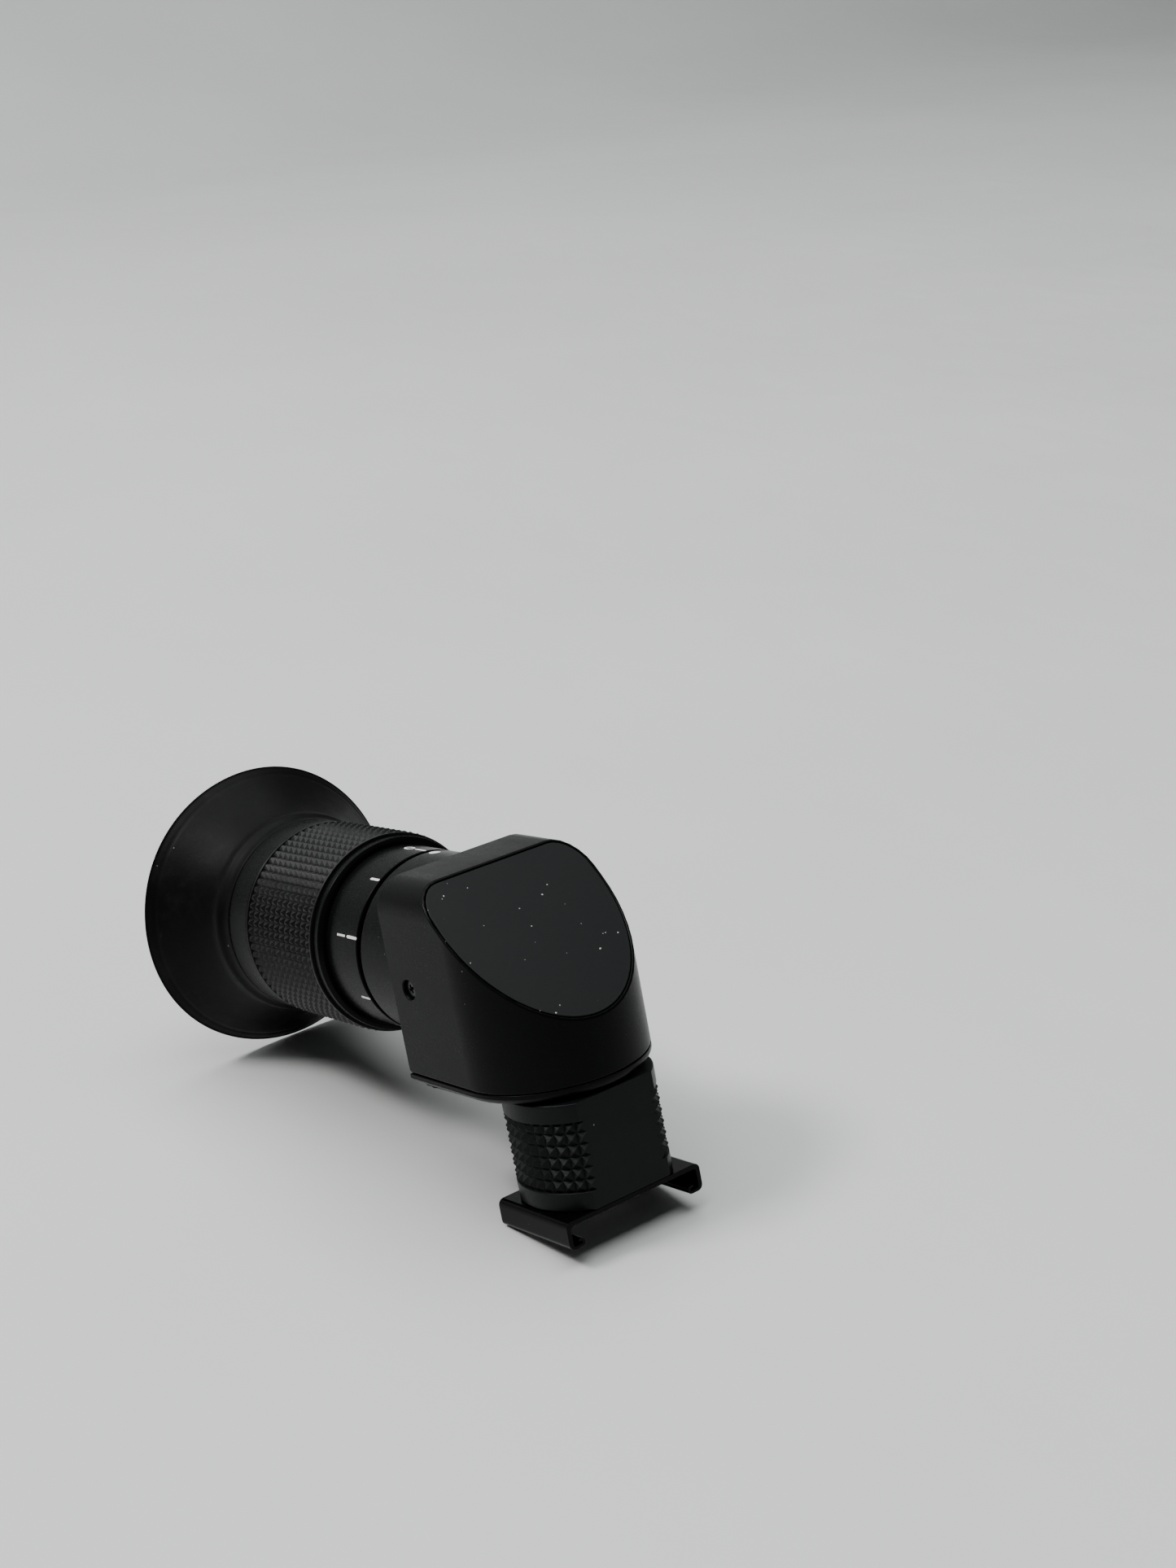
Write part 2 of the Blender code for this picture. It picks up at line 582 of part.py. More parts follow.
def make_shoe(parent):
    """The bent sheet that slides over the frame of a camera's eyepiece, and its four screws."""
    right = rail_outline()
    left = [(-x, z) for x, z in reversed(right)]
    sheet = prism_of(right + left, -SHOE_FRONT, SHOE_BACK, "XZ")
    bracket = put("shoe_bracket", sheet, "black_metal", parent)
    low = PLATE_TOP - SHEET
    window = rod(SHOE_WINDOW, low - OVERSHOOT, PLATE_TOP + OVERSHOOT, steps=FINE_STEPS)
    tools = [cutter("shoe_window", window, parent)]
    for number, (x, y) in enumerate(shoe_screw_places(), 1):
        hole = sunk_hole(SHOE_SCREW, low, PLATE_TOP)
        tools.append(cutter(f"shoe_hole_{number}", moved_to(hole, (x, y, 0)), parent))
        sunk_screw(f"shoe_screw_{number}", SHOE_SCREW, x, y, low, parent)
    combine(bracket, tools)


def make_prism(parent):
    """A right-angle prism whose slanted face is a roof with its ridge on the plane z = y."""
    reach = HOUSING_HALF - WALL
    front = ROUND_Y - math.sqrt(reach ** 2 - PRISM_HALF_WIDTH ** 2) + 2 * SEAT_GAP
    low = (-PRISM_HALF_WIDTH, max(front, -PRISM_LEG), -PRISM_LEG)
    high = (PRISM_HALF_WIDTH, PRISM_LEG, PRISM_LEG)
    block = put("roof_prism", box_of(low, high), "glass", parent)
    ridge = Vector((0, 1, 1)).normalized()
    tools = []
    for name, angle in (("roof_side_a", -math.pi / 4), ("roof_side_b", math.pi / 4)):
        bm = below_slant(0)
        bmesh.ops.rotate(bm, verts=bm.verts, matrix=Matrix.Rotation(angle, 3, ridge))
        tools.append(cutter(name, bm, parent))
    combine(block, tools, "INTERSECT")


def make_frame(parent):
    """The casting that carries the prism between two cheeks and takes the side screws."""
    half = HOUSING_HALF - WALL - SEAT_GAP
    low = SEAM_Z + 2 * SEAT_GAP + BASE_SCREW[3] + WALL
    high = HOUSING_TOP - SHOULDER_RADIUS
    plate = box_of((-half, FRAME_FRONT, low), (half, FRAME_BACK, high))
    frame = put("prism_frame", plate, "black_metal", parent)
    shank, _, height, length = SIDE_SCREW
    screw_y = HOUSING_BACK - SIDE_SCREW_INSET
    inner = PRISM_HALF_WIDTH + SEAT_GAP
    cheeks = []
    holes = []
    for name, side in (("left", -1), ("right", 1)):
        left, right = sorted((side * inner, side * (inner + CHEEK_THICK)))
        bm = box_of((left, -CHEEK_FRONT, -PRISM_LEG), (right, FRAME_FRONT + OVERSHOOT, PRISM_LEG))
        cheek = cutter(f"cheek_{name}", bm, parent)
        slope = cutter(f"cheek_slope_{name}", below_slant(-CHEEK_DROP), parent)
        combine(cheek, [slope], "INTERSECT")
        cheeks.append(cheek)
        hole = across(rod(shank + SEAT_GAP, 0, length + OVERSHOOT), side)
        moved_to(hole, (side * (half - length - SEAT_GAP), screw_y, -SIDE_SCREW_DROP))
        holes.append(cutter(f"frame_hole_{name}", hole, parent))
        screw = across(screw_shape(SIDE_SCREW, False), side)
        moved_to(screw, (side * (half + SEAT_GAP + height), screw_y, -SIDE_SCREW_DROP))
        put(f"side_screw_{name}", screw, "black_metal", parent)
    combine(frame, cheeks, "UNION")
    bore = rod(FRAME_BORE, FRAME_FRONT - FRAME_STEP, FRAME_BACK + OVERSHOOT, "Y", ROUND_STEPS)
    combine(frame, [cutter("frame_bore", bore, parent)] + holes)


def make_mask(parent):
    """The thin plate with a rectangular gate that frames the view."""
    front = FRAME_FRONT + OVERSHOOT
    disc = rod(FRAME_BORE - SEAT_GAP, front, front + MASK_THICK, "Y", FINE_STEPS)
    mask = put("field_mask", disc, "black_metal", parent)
    low = (-MASK_WIDTH / 2, FRAME_FRONT, -MASK_HEIGHT / 2)
    high = (MASK_WIDTH / 2, FRAME_BACK, MASK_HEIGHT / 2)
    combine(mask, [cutter("mask_gate", box_of(low, high), parent)])


def make_barrel(parent):
    """The fixed barrel on the housing's back, with the track that the focusing ring turns on."""
    thread = TRACK_RADIUS - STOP_THREAD
    mouth = LENS_BORE - LENS_LAND
    cell_end = CELL_FRONT - CELL_TRAVEL - CELL_END_ROOM
    outline = [(mouth, NUT_FRONT), (BARREL_SPIGOT, NUT_FRONT), (BARREL_SPIGOT, BARREL_FRONT),
               (BARREL_RADIUS, BARREL_FRONT), (BARREL_RADIUS, BARREL_BACK),
               (TRACK_RADIUS, BARREL_BACK), (TRACK_RADIUS, TRACK_BACK), (thread, TRACK_BACK),
               (thread, STOP_BACK), (CELL_BORE, STOP_BACK), (CELL_BORE, cell_end),
               (LENS_BORE, cell_end), (LENS_BORE, FIELD_LENS_FRONT), (mouth, FIELD_LENS_FRONT)]
    barrel = put("fixed_barrel", turned(outline, "Y"), "satin_black", parent)
    reach = CELL_TRAVEL + PIN_RADIUS + 4 * RUN_GAP
    half = PIN_RADIUS + 2 * RUN_GAP
    slot = box_of((CELL_BORE - OVERSHOOT, PIN_Y - reach, -half),
                  (TRACK_RADIUS + OVERSHOOT, PIN_Y + reach, half))
    combine(barrel, [cutter("key_slot", slot, parent)])
    nut = tube(BARREL_SPIGOT + SEAT_GAP, BARREL_SPIGOT + BARREL_NUT_RING, NUT_FRONT,
               NUT_FRONT + BARREL_NUT_WIDTH)
    put("barrel_nut", turned(nut, "Y"), "brass", parent)
    stop = tube(thread + SEAT_GAP, STOP_RING_RADIUS, TRACK_BACK + SEAT_GAP, STOP_BACK)
    put("focus_stop_ring", turned(stop, "Y"), "brass", parent)
    rim = LENS_BORE - SEAT_GAP
    face = FIELD_LENS_FRONT + SEAT_GAP
    back = face + FIELD_LENS_THICK
    lens = lens_outline(rim, face, back, 0, 0.0007)
    put("field_lens", turned(lens, "Y", FINE_STEPS), "glass", parent)
    ring = tube(rim - LENS_LAND, rim, back + SEAT_GAP, back + SEAT_GAP + LENS_RING_WIDTH)
    put("field_lens_retainer", turned(ring, "Y", FINE_STEPS), "black_metal", parent)


def helix_groove():
    """The cam groove inside the focusing ring, as a swept block that follows the drive pin."""
    bm = bmesh.new()
    steps = 48
    half = PIN_RADIUS + 3 * RUN_GAP
    lead = CELL_TRAVEL / FOCUS_HALF_TURN
    reach = 2 * (FOCUS_HALF_TURN + GROOVE_MARGIN)
    inner = CORE_BORE - SKIM
    corners = ((inner, -half), (GROOVE_RADIUS, -half), (GROOVE_RADIUS, half), (inner, half))
    sections = []
    for index in range(steps + 1):
        turn = -reach / 2 + reach * index / steps
        angle = math.pi / 2 - turn
        place = PIN_Y + lead * turn
        section = []
        for radius, side in corners:
            point = (radius * math.sin(angle), place + side, radius * math.cos(angle))
            section.append(bm.verts.new(point))
        sections.append(section)
    for before, after in zip(sections, sections[1:]):
        for corner in range(4):
            following = (corner + 1) % 4
            bm.faces.new((before[corner], before[following], after[following], after[corner]))
    bm.faces.new(sections[0])
    bm.faces.new(list(reversed(sections[-1])))
    return bm


def make_focus_ring(parent):
    """The turning group: core, scale ring, rubber grip and end ring."""
    step = SCALE_RADIUS + RIDGE_STEP
    shoulder = RIDGE_FRONT + RIDGE_CHAMFER
    outline = [(CORE_BORE, SCALE_FRONT), (SCALE_SEAT, SCALE_FRONT), (SCALE_SEAT, RIDGE_FRONT),
               (step, RIDGE_FRONT), (RIDGE_RADIUS, shoulder), (RIDGE_RADIUS, RIDGE_BACK),
               (GRIP_SEAT, RIDGE_BACK), (GRIP_SEAT, GRIP_BACK), (SPIGOT_RADIUS, GRIP_BACK),
               (SPIGOT_RADIUS, CORE_BACK), (CORE_END_BORE, CORE_BACK), (CORE_END_BORE, TRACK_BACK),
               (CORE_BORE, TRACK_BACK)]
    core = put("focus_core", turned(outline, "Y"), "black_metal", parent)
    combine(core, [cutter("cam_groove", helix_groove(), parent)])
    scale = tube(SCALE_SEAT + SEAT_GAP, SCALE_RADIUS, SCALE_FRONT, SCALE_BACK)
    put("scale_ring", turned(scale, "Y"), "satin_black", parent)
    grip = tube(GRIP_SEAT + SEAT_GAP, GRIP_RADIUS, GRIP_FRONT, GRIP_BACK)
    put("rubber_grip", turned(grip, "Y"), "rubber", parent)
    end = tube(SPIGOT_RADIUS + SEAT_GAP, END_RING_RADIUS, END_RING_FRONT, END_RING_BACK)
    put("grip_end_ring", turned(end, "Y"), "satin_black", parent)


def eyecup_outline():
    """A collar that grips the spigot, a small shoulder and a trumpet that ends in its rim."""
    outer = [(EYECUP_ROOT, EYECUP_FRONT)]
    for share in (0.15, 0.3, 0.45, 0.6, 0.75, 0.9):
        rise = 0.10 * share + 0.90 * share ** 1.6
        place = EYECUP_FRONT + EYECUP_LENGTH * share
        outer.append((EYECUP_ROOT + EYECUP_FLARE * rise, place))
    inner = []
    for radius, place in reversed(outer[1:]):
        if place > CORE_BACK:
            inner.append((radius - EYECUP_WALL * 1.15, place + EYECUP_WALL * 0.35))
    rim = [(EYECUP_RADIUS, RIM_Y), (EYECUP_RADIUS - EYECUP_WALL, RIM_Y)]
    bore = SPIGOT_RADIUS + SEAT_GAP
    return outer + rim + inner + [(bore, CORE_BACK + EYECUP_GAP), (bore, EYECUP_FRONT)]


def make_eyecup(parent):
    put("eyecup", turned(eyecup_outline(), "Y"), "rubber", parent)


def make_lens_cell(parent):
    """The sliding cell with its two lenses, spacer, retaining ring and drive pin."""
    seat = CELL_INNER - CELL_SEAT
    back = CELL_FRONT + CELL_LENGTH
    first = CELL_FRONT + CELL_SEAT_WIDTH
    outline = [(seat, CELL_FRONT), (CELL_RADIUS, CELL_FRONT), (CELL_RADIUS, back),
               (CELL_INNER, back), (CELL_INNER, first - SEAT_GAP), (seat, first - SEAT_GAP)]
    cell = put("lens_cell", turned(outline, "Y"), "black_metal", parent)
    hole = rod(PIN_RADIUS + SEAT_GAP, CELL_INNER - OVERSHOOT, CELL_RADIUS + OVERSHOOT)
    combine(cell, [cutter("pin_hole", moved_to(across(hole, 1), (0, PIN_Y, 0)), parent)])
    pin = rod(PIN_RADIUS, CELL_INNER + SEAT_GAP, GROOVE_RADIUS - 2 * SEAT_GAP)
    put("drive_pin", moved_to(across(pin, 1), (0, PIN_Y, 0)), "steel", parent)
    rim = CELL_INNER - SEAT_GAP
    land = rim - LENS_LAND
    second = first + FRONT_LENS_THICK
    lens = lens_outline(rim, first, second, 0, 0.0009)
    put("collecting_lens", turned(lens, "Y", FINE_STEPS), "glass", parent)
    spacer_end = second + SEAT_GAP + SPACER_LENGTH
    spacer = tube(land, rim, second + SEAT_GAP, spacer_end)
    put("lens_spacer", turned(spacer, "Y", FINE_STEPS), "black_metal", parent)
    third = spacer_end + SEAT_GAP
    fourth = third + EYE_LENS_THICK
    lens = lens_outline(rim, third, fourth, 0.0007, 0.0009)
    put("eye_lens", turned(lens, "Y", FINE_STEPS), "glass", parent)
    ring = tube(land, rim, fourth + SEAT_GAP, fourth + SEAT_GAP + LENS_RING_WIDTH)
    put("lens_retaining_ring", turned(ring, "Y", FINE_STEPS), "black_metal", parent)


def resting_tilt():
    """The angle that brings the shoe's back edge and the eyecup's rim down to one floor."""
    rim = [(place, -radius) for radius, place in eyecup_outline()]
    low = PLATE_TOP - SHOE_DEPTH
    shoe = [(SHOE_BACK, low), (-SHOE_FRONT, low), (SHOE_BACK, PLATE_TOP)]
    lowest = []
    for near in shoe:
        ahead = [far for far in rim if far[0] > near[0]]
        lowest.append(min(math.atan2(far[1] - near[1], far[0] - near[0]) for far in ahead))
    return max(lowest)


def stand_on_floor(root):
    """Puts the middle of the bounding box over the origin, with the lowest point at height 0."""
    bpy.context.view_layer.update()
    graph = bpy.context.evaluated_depsgraph_get()
    points = []
    for thing in bpy.context.scene.objects:
        if thing.type == "MESH" and not thing.hide_render:
            shape = thing.evaluated_get(graph)
            points += [shape.matrix_world @ vert.co for vert in shape.data.vertices]
    low = [min(point[axis] for point in points) for axis in range(3)]
    high = [max(point[axis] for point in points) for axis in range(3)]
    root.location = (-(low[0] + high[0]) / 2, -(low[1] + high[1]) / 2, -low[2])


def main():
    clear_scene()
    shoe = pivot("shoe_pivot")
    shoe.rotation_euler = (-resting_tilt(), 0, 0)
    housing = pivot("swivel_axis", shoe)
    focus = pivot("focus_axis", housing)
    cell = pivot("cell_axis", housing)
    make_shoe(shoe)
    make_sleeve(shoe)
    make_base(housing)
    make_swivel_ring(housing)
    make_objective(housing)
    make_housing(housing)
    make_cover(housing)
    make_prism(housing)
    make_frame(housing)
    make_mask(housing)
    make_barrel(housing)
    make_focus_ring(focus)
    make_eyecup(focus)
    make_lens_cell(cell)
    stand_on_floor(shoe)


main()
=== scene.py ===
# %% [markdown]
# # A right-angle viewfinder, from its imported solids to its finished looks
#
# The finder clips on a camera's eyepiece and turns the view through a right angle. Its solids
# are already built, measured and jointed. This lesson loads them as a fixed frame and makes
# every surface that shows: turned rings, a cast housing, bent sheet, moulded rubber, printed
# marks and coated glass. Each new piece takes its place from the solids. Only the camera, the
# lights and the angles of the printed marks are given.

import json
import math

import bmesh
import bpy
from mathutils import Matrix, Vector


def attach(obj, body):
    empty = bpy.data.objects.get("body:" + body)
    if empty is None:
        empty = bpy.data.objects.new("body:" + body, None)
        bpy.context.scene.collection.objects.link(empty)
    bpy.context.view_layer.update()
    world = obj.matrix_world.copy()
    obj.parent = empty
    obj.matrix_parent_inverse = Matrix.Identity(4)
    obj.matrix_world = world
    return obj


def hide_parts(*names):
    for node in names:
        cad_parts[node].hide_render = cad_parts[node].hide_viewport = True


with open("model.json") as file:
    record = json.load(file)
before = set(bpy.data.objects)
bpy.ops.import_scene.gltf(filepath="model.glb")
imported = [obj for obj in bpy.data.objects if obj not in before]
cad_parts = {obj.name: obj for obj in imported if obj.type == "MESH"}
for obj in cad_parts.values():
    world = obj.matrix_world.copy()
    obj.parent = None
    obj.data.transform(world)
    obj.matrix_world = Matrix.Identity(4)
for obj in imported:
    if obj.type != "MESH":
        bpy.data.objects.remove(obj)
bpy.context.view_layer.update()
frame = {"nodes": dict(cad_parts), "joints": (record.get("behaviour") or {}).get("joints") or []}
joints = {joint["name"]: joint for joint in frame["joints"]}

# %% [markdown]
# ## The working frame
#
# At rest the finder leans on its shoe and on the rim of its eyecup, so both of its axes are
# tilted. Drawing tilted rings is awkward, so every piece is drawn upright in a working frame:
# its origin is the point where the two optical axes cross, +Y runs along the eyepiece and +Z
# runs up the swivel. The joints already say where these axes are, so one matrix carries a
# finished mesh from the working frame to its real place. The object itself stays at the origin.

# %% One matrix from the working frame to the real one
MM = 0.001
crossing = Vector(joints["focus_turn"]["pos_m"])
eyepiece_way = Vector(joints["focus_turn"]["axis"]).normalized()
swivel_way = Vector(joints["housing_swivel"]["axis"]).normalized()
across_way = eyepiece_way.cross(swivel_way).normalized()
swivel_way = across_way.cross(eyepiece_way).normalized()
TO_PLACE = Matrix.Translation(crossing) @ Matrix(
    (across_way, eyepiece_way, swivel_way)).transposed().to_4x4()
FROM_PLACE = TO_PLACE.inverted()


def local_box(node):
    """The lowest and highest corner of a solid, measured in the working frame."""
    corners = [FROM_PLACE @ vert.co for vert in frame["nodes"][node].data.vertices]
    low = Vector([min(corner[axis] for corner in corners) for axis in range(3)])
    high = Vector([max(corner[axis] for corner in corners) for axis in range(3)])
    return low, high


print("axes cross at", [round(value, 4) for value in crossing])

# %% [markdown]
# ## Finishes
#
# Nearly everything here is black, and black things differ only in how they catch the light.
# One builder makes every black finish from three layers: broad colour drift, fine grain that
# stirs roughness, and a bump of the right size. Each finish then sets its own numbers, such as
# a tight grain for sprayed paint and a coarse, dusty one for old rubber. Constants that are
# the same all over go on the shader's own sockets, so that an exported model keeps them.

# %% A small helper for node trees


class Tree:
    """A material's nodes, added and wired in few words."""

    def __init__(self, name):
        self.material = bpy.data.materials.new(name)
        self.material.use_nodes = True
        self.nodes = self.material.node_tree.nodes
        self.links = self.material.node_tree.links
        self.shader = self.nodes["Principled BSDF"]
        self.place = self.nodes.new("ShaderNodeTexCoord").outputs["Object"]

    def add(self, kind, wires=(), **settings):
        node = self.nodes.new("ShaderNode" + kind)
        for key, value in settings.items():
            setattr(node, key, value)
        for socket, value in dict(wires).items():
            target = node.inputs[socket]
            if isinstance(value, bpy.types.NodeSocket):
                self.links.new(value, target)
            else:
                target.default_value = value
        return node

    def noise(self, scale, detail=4.0, roughness=0.5, place=None, stretch=None):
        source = place or self.place
        if stretch:
            source = self.add("Mapping", {"Vector": source, "Scale": stretch}).outputs[0]
        wires = {"Vector": source, "Scale": scale, "Detail": detail, "Roughness": roughness}
        return self.add("TexNoise", wires).outputs["Fac"]

    def ramp(self, value, low, high, start=0.0, end=1.0):
        """Maps low..high of a value to start..end, held at both ends."""
        wires = {"Value": value, "From Min": low, "From Max": high, "To Min": start, "To Max": end}
        return self.add("MapRange", wires).outputs["Result"]

    def sum(self, first, second, operation="ADD"):
        return self.add("Math", {0: first, 1: second}, operation=operation).outputs[0]

    def mix(self, share, first, second):
        node = self.add("Mix", {0: share, 6: first, 7: second}, data_type="RGBA")
        return node.outputs[2]

    def bump(self, height, distance, strength=1.0, normal=None):
        wires = {"Height": height, "Distance": distance, "Strength": strength}
        if normal is not None:
            wires["Normal"] = normal
        return self.add("Bump", wires).outputs["Normal"]

    def give(self, **sockets):
        for name, value in sockets.items():
            target = self.shader.inputs[name.replace("_", " ")]
            if isinstance(value, bpy.types.NodeSocket):
                self.links.new(value, target)
            else:
                target.default_value = value
        return self.material


def grey(value, tint=0.0):
    """A near-grey colour; a positive tint leans to blue."""
    return (value * (1 - tint), value, value * (1 + tint), 1)


print("node helper ready")

# %% [markdown]
# ### Sprayed satin black
#
# The housing, the barrel and the rings are cast or turned metal under a thin satin black
# paint. Real paint is never one even black: it has a fine orange-peel that softens each
# highlight, a slow drift in gloss where hands have polished it, and the odd speck of dust. A
# noise of about a third of a millimetre makes the peel, one of about two centimetres the
# drift, and a very sparse one the specks.

# %% Painted finishes


def painted(name, colour, gloss, peel=0.00003, drift=0.06, shine=0.065, coat=0.0):
    tree = Tree(name)
    slow = tree.noise(55, 3.0)
    fine = tree.noise(3200, 3.0, 0.6)
    smear = tree.noise(160, 5.0, 0.7, stretch=(1.0, 0.35, 1.0))
    dust = tree.noise(1500, 2.0, 0.4)
    spots = tree.ramp(dust, 0.80, 0.82)
    worn = tree.ramp(smear, 0.35, 0.75)
    base = tree.mix(tree.ramp(slow, 0.3, 0.7), colour, [c * 1.35 for c in colour[:3]] + [1])
    base = tree.mix(spots, base, (0.30, 0.29, 0.27, 1))
    rough = tree.sum(tree.ramp(worn, 0, 1, gloss - drift, gloss + drift),
                     tree.ramp(fine, 0.3, 0.7, -0.02, 0.02))
    rough = tree.sum(rough, tree.ramp(spots, 0, 1, 0, 0.4))
    peeled = tree.bump(fine, peel, 0.5)
    return tree.give(Base_Color=base, Roughness=rough, Normal=peeled, Coat_Weight=coat,
                     Coat_Roughness=0.12, Specular_IOR_Level=shine)


satin_black = painted("satin_black_paint", grey(0.0022, 0.03), 0.31)
ring_black = painted("ring_black_anodised", grey(0.0024, 0.05), 0.28, peel=0.000015, drift=0.025)
sleeve_black = painted("sleeve_black_matt", grey(0.0035, 0.12), 0.38, peel=0.00004, shine=0.12)
gloss_black = painted("shoe_gloss_black", grey(0.0010, 0.0), 0.20, drift=0.08, coat=0.015)
print("painted finishes: 4")

# %% [markdown]
# ### The cover plate's matt film
#
# The D-shaped plate is flatter and slightly bluer than the housing. Years of handling have
# left broad, faint smudges on it and a few white specks of dust. The smudges only change the
# roughness and lift the colour a little, because a stain that showed as a shape would look
# painted on.

# %% Cover plate finish


def plate_finish():
    tree = Tree("cover_plate_matt")
    cloud = tree.noise(70, 6.0, 0.62)
    fine = tree.noise(5200, 2.0, 0.6)
    grime = tree.noise(420, 4.0, 0.7)
    dust = tree.noise(1900, 0.5, 0.2)
    spots = tree.ramp(dust, 0.835, 0.845)
    haze = tree.ramp(cloud, 0.42, 0.68)
    base = tree.mix(haze, grey(0.0036, 0.14), grey(0.0054, 0.12))
    base = tree.mix(tree.ramp(grime, 0.70, 0.82, 0, 0.4), base, grey(0.018, 0.02))
    base = tree.mix(spots, base, (0.55, 0.55, 0.53, 1))
    rough = tree.sum(tree.ramp(haze, 0, 1, 0.43, 0.52), tree.ramp(fine, 0.3, 0.7, -0.03, 0.03))
    return tree.give(Base_Color=base, Roughness=rough, Normal=tree.bump(fine, 0.00002, 0.4),
                     Specular_IOR_Level=0.17)


plate_black = plate_finish()
print("cover plate finish")

# %% [markdown]
# ### Rubber
#
# The grip and the eyecup are black rubber. New rubber is dark and even; this eyecup is old, so
# it has a grey bloom in broad patches, scuffs along the rim and lint that clings to it. Rubber
# scatters light in its skin, so a little sheen lifts the edges that turn away from the eye.

# %% Rubber finishes


def rubber(name, colour, bloom, bloom_share, rough_low, rough_high, lint, shine):
    tree = Tree(name)
    broad = tree.noise(62, 5.0, 0.6)
    patch = tree.noise(210, 6.0, 0.7)
    skin = tree.noise(2600, 4.0, 0.65)
    scuff = tree.noise(900, 3.0, 0.6, stretch=(1.0, 1.0, 0.22))
    fleck = tree.noise(1250, 1.0, 0.3)
    dusty = tree.sum(tree.ramp(broad, 0.42, 0.72), tree.ramp(patch, 0.48, 0.78), "MULTIPLY")
    dusty = tree.sum(dusty, bloom_share, "MULTIPLY")
    base = tree.mix(dusty, colour, bloom)
    base = tree.mix(tree.ramp(scuff, 0.69, 0.80, 0, 0.35), base, bloom)
    base = tree.mix(tree.ramp(fleck, lint, lint + 0.02), base, (0.42, 0.41, 0.38, 1))
    rough = tree.ramp(patch, 0.3, 0.7, rough_low, rough_high)
    normal = tree.bump(skin, 0.00004, 0.6)
    normal = tree.bump(patch, 0.00012, 0.35, normal)
    return tree.give(Base_Color=base, Roughness=rough, Normal=normal, Sheen_Weight=0.012,
                     Sheen_Roughness=0.5, Specular_IOR_Level=shine)


cup_rubber = rubber("eyecup_old_rubber", grey(0.0022, 0.0), (0.016, 0.016, 0.015, 1), 1.0,
                    0.38, 0.54, 0.82, 0.06)
grip_rubber = rubber("grip_rubber", grey(0.0040, 0.0), (0.014, 0.014, 0.0135, 1), 0.5,
                     0.30, 0.42, 0.83, 0.22)
print("rubber finishes: 2")

# %% [markdown]
# ### White print, dark steel, brass and coated glass
#
# The dial's marks are filled with white paint. The hidden rings are brass, the screws are
# blackened steel, and the lenses carry a thin coating whose reflection is faintly violet. The
# coating is the shader's own clear coat with a tint, so no extra surface is needed.

# %% Small finishes


def metal(name, colour, rough, grain, metallic=1.0):
    tree = Tree(name)
    turned_lines = tree.noise(grain, 3.0, 0.6, stretch=(1.0, 14.0, 1.0))
    stain = tree.noise(300, 4.0, 0.6)
    base = tree.mix(tree.ramp(stain, 0.35, 0.7), colour, [c * 0.72 for c in colour[:3]] + [1])
    fine = tree.ramp(turned_lines, 0.3, 0.7, rough - 0.05, rough + 0.08)
    return tree.give(Base_Color=base, Roughness=fine, Metallic=metallic,
                     Normal=tree.bump(turned_lines, 0.00001, 0.5))


def printed():
    tree = Tree("white_fill_paint")
    chalk = tree.noise(2400, 4.0, 0.6)
    base = tree.mix(tree.ramp(chalk, 0.35, 0.75), (0.86, 0.86, 0.84, 1), (0.70, 0.70, 0.67, 1))
    return tree.give(Base_Color=base, Roughness=0.55, Normal=tree.bump(chalk, 0.00001, 0.4))


def glass(name, tint, reflection):
    tree = Tree(name)
    smear = tree.noise(240, 4.0, 0.6)
    return tree.give(Base_Color=tint, Roughness=tree.ramp(smear, 0.4, 0.8, 0.01, 0.05), IOR=1.52,
                     Transmission_Weight=1.0, Coat_Weight=0.8, Coat_Roughness=0.02,
                     Coat_Tint=reflection)


def dull_black():
    """The light-trapping paint inside the tubes."""
    tree = Tree("inner_matt_black")
    velvet = tree.noise(1800, 4.0, 0.7)
    base = tree.mix(tree.ramp(velvet, 0.3, 0.7), grey(0.006), grey(0.012))
    return tree.give(Base_Color=base, Roughness=0.85, Normal=tree.bump(velvet, 0.00006, 0.6))


white_print = printed()
dark_steel = metal("blackened_steel", (0.055, 0.055, 0.06, 1), 0.34, 900)
bright_steel = metal("spring_steel", (0.50, 0.50, 0.52, 1), 0.30, 900)
brass = metal("turned_brass", (0.55, 0.38, 0.15, 1), 0.30, 1100)
clear_glass = glass("coated_glass", (0.93, 0.96, 0.97, 1), (0.72, 0.55, 0.95, 1))
prism_glass = glass("prism_glass", (0.94, 0.97, 0.96, 1), (1, 1, 1, 1))
inner_black = dull_black()
print("small finishes: 7")

# %% [markdown]
# ## The camera
#
# The camera comes before the shapes, because each piece is judged through it. It stands about
# a third of a metre away, ahead of the finder and to its left, looking slightly down, and it is
# rolled by a few degrees. It is written in the working frame, with a lens, a place, two angles and
# a roll.

# %% Camera
LENS = 74.98
AZIMUTH = math.radians(34.77)
DOWN = math.radians(12.55)
ROLL = math.radians(10.59)
camera_place = Vector((-175.73, -268.94, 95.83)) * MM

lens = bpy.data.cameras.new("camera")
lens.lens = LENS
lens.sensor_width = 36
lens.sensor_fit = "HORIZONTAL"
lens.clip_start = 0.01
camera = bpy.data.objects.new("camera", lens)
bpy.context.scene.collection.objects.link(camera)
turn = Matrix.Rotation(-AZIMUTH, 4, "Z") @ Matrix.Rotation(math.pi / 2 - DOWN, 4, "X")
camera.matrix_world = (TO_PLACE @ Matrix.Translation(camera_place) @ turn
                       @ Matrix.Rotation(-ROLL, 4, "Z"))
bpy.context.scene.camera = camera
print("camera at", [round(value, 3) for value in camera.matrix_world.translation])

# %% [markdown]
# ## Floor and light
#
# Satin black shows its shape only through what it reflects, so the light matters more than any
# finish. A small panel behind and above the left side draws the highlights on the rings, a
# broad one overhead lights the top faces, and the pale floor lights the undersides. The floor
# turns up into a backdrop behind the finder. Seen from the side or from behind, it ends.

# %% Floor, backdrop and lights


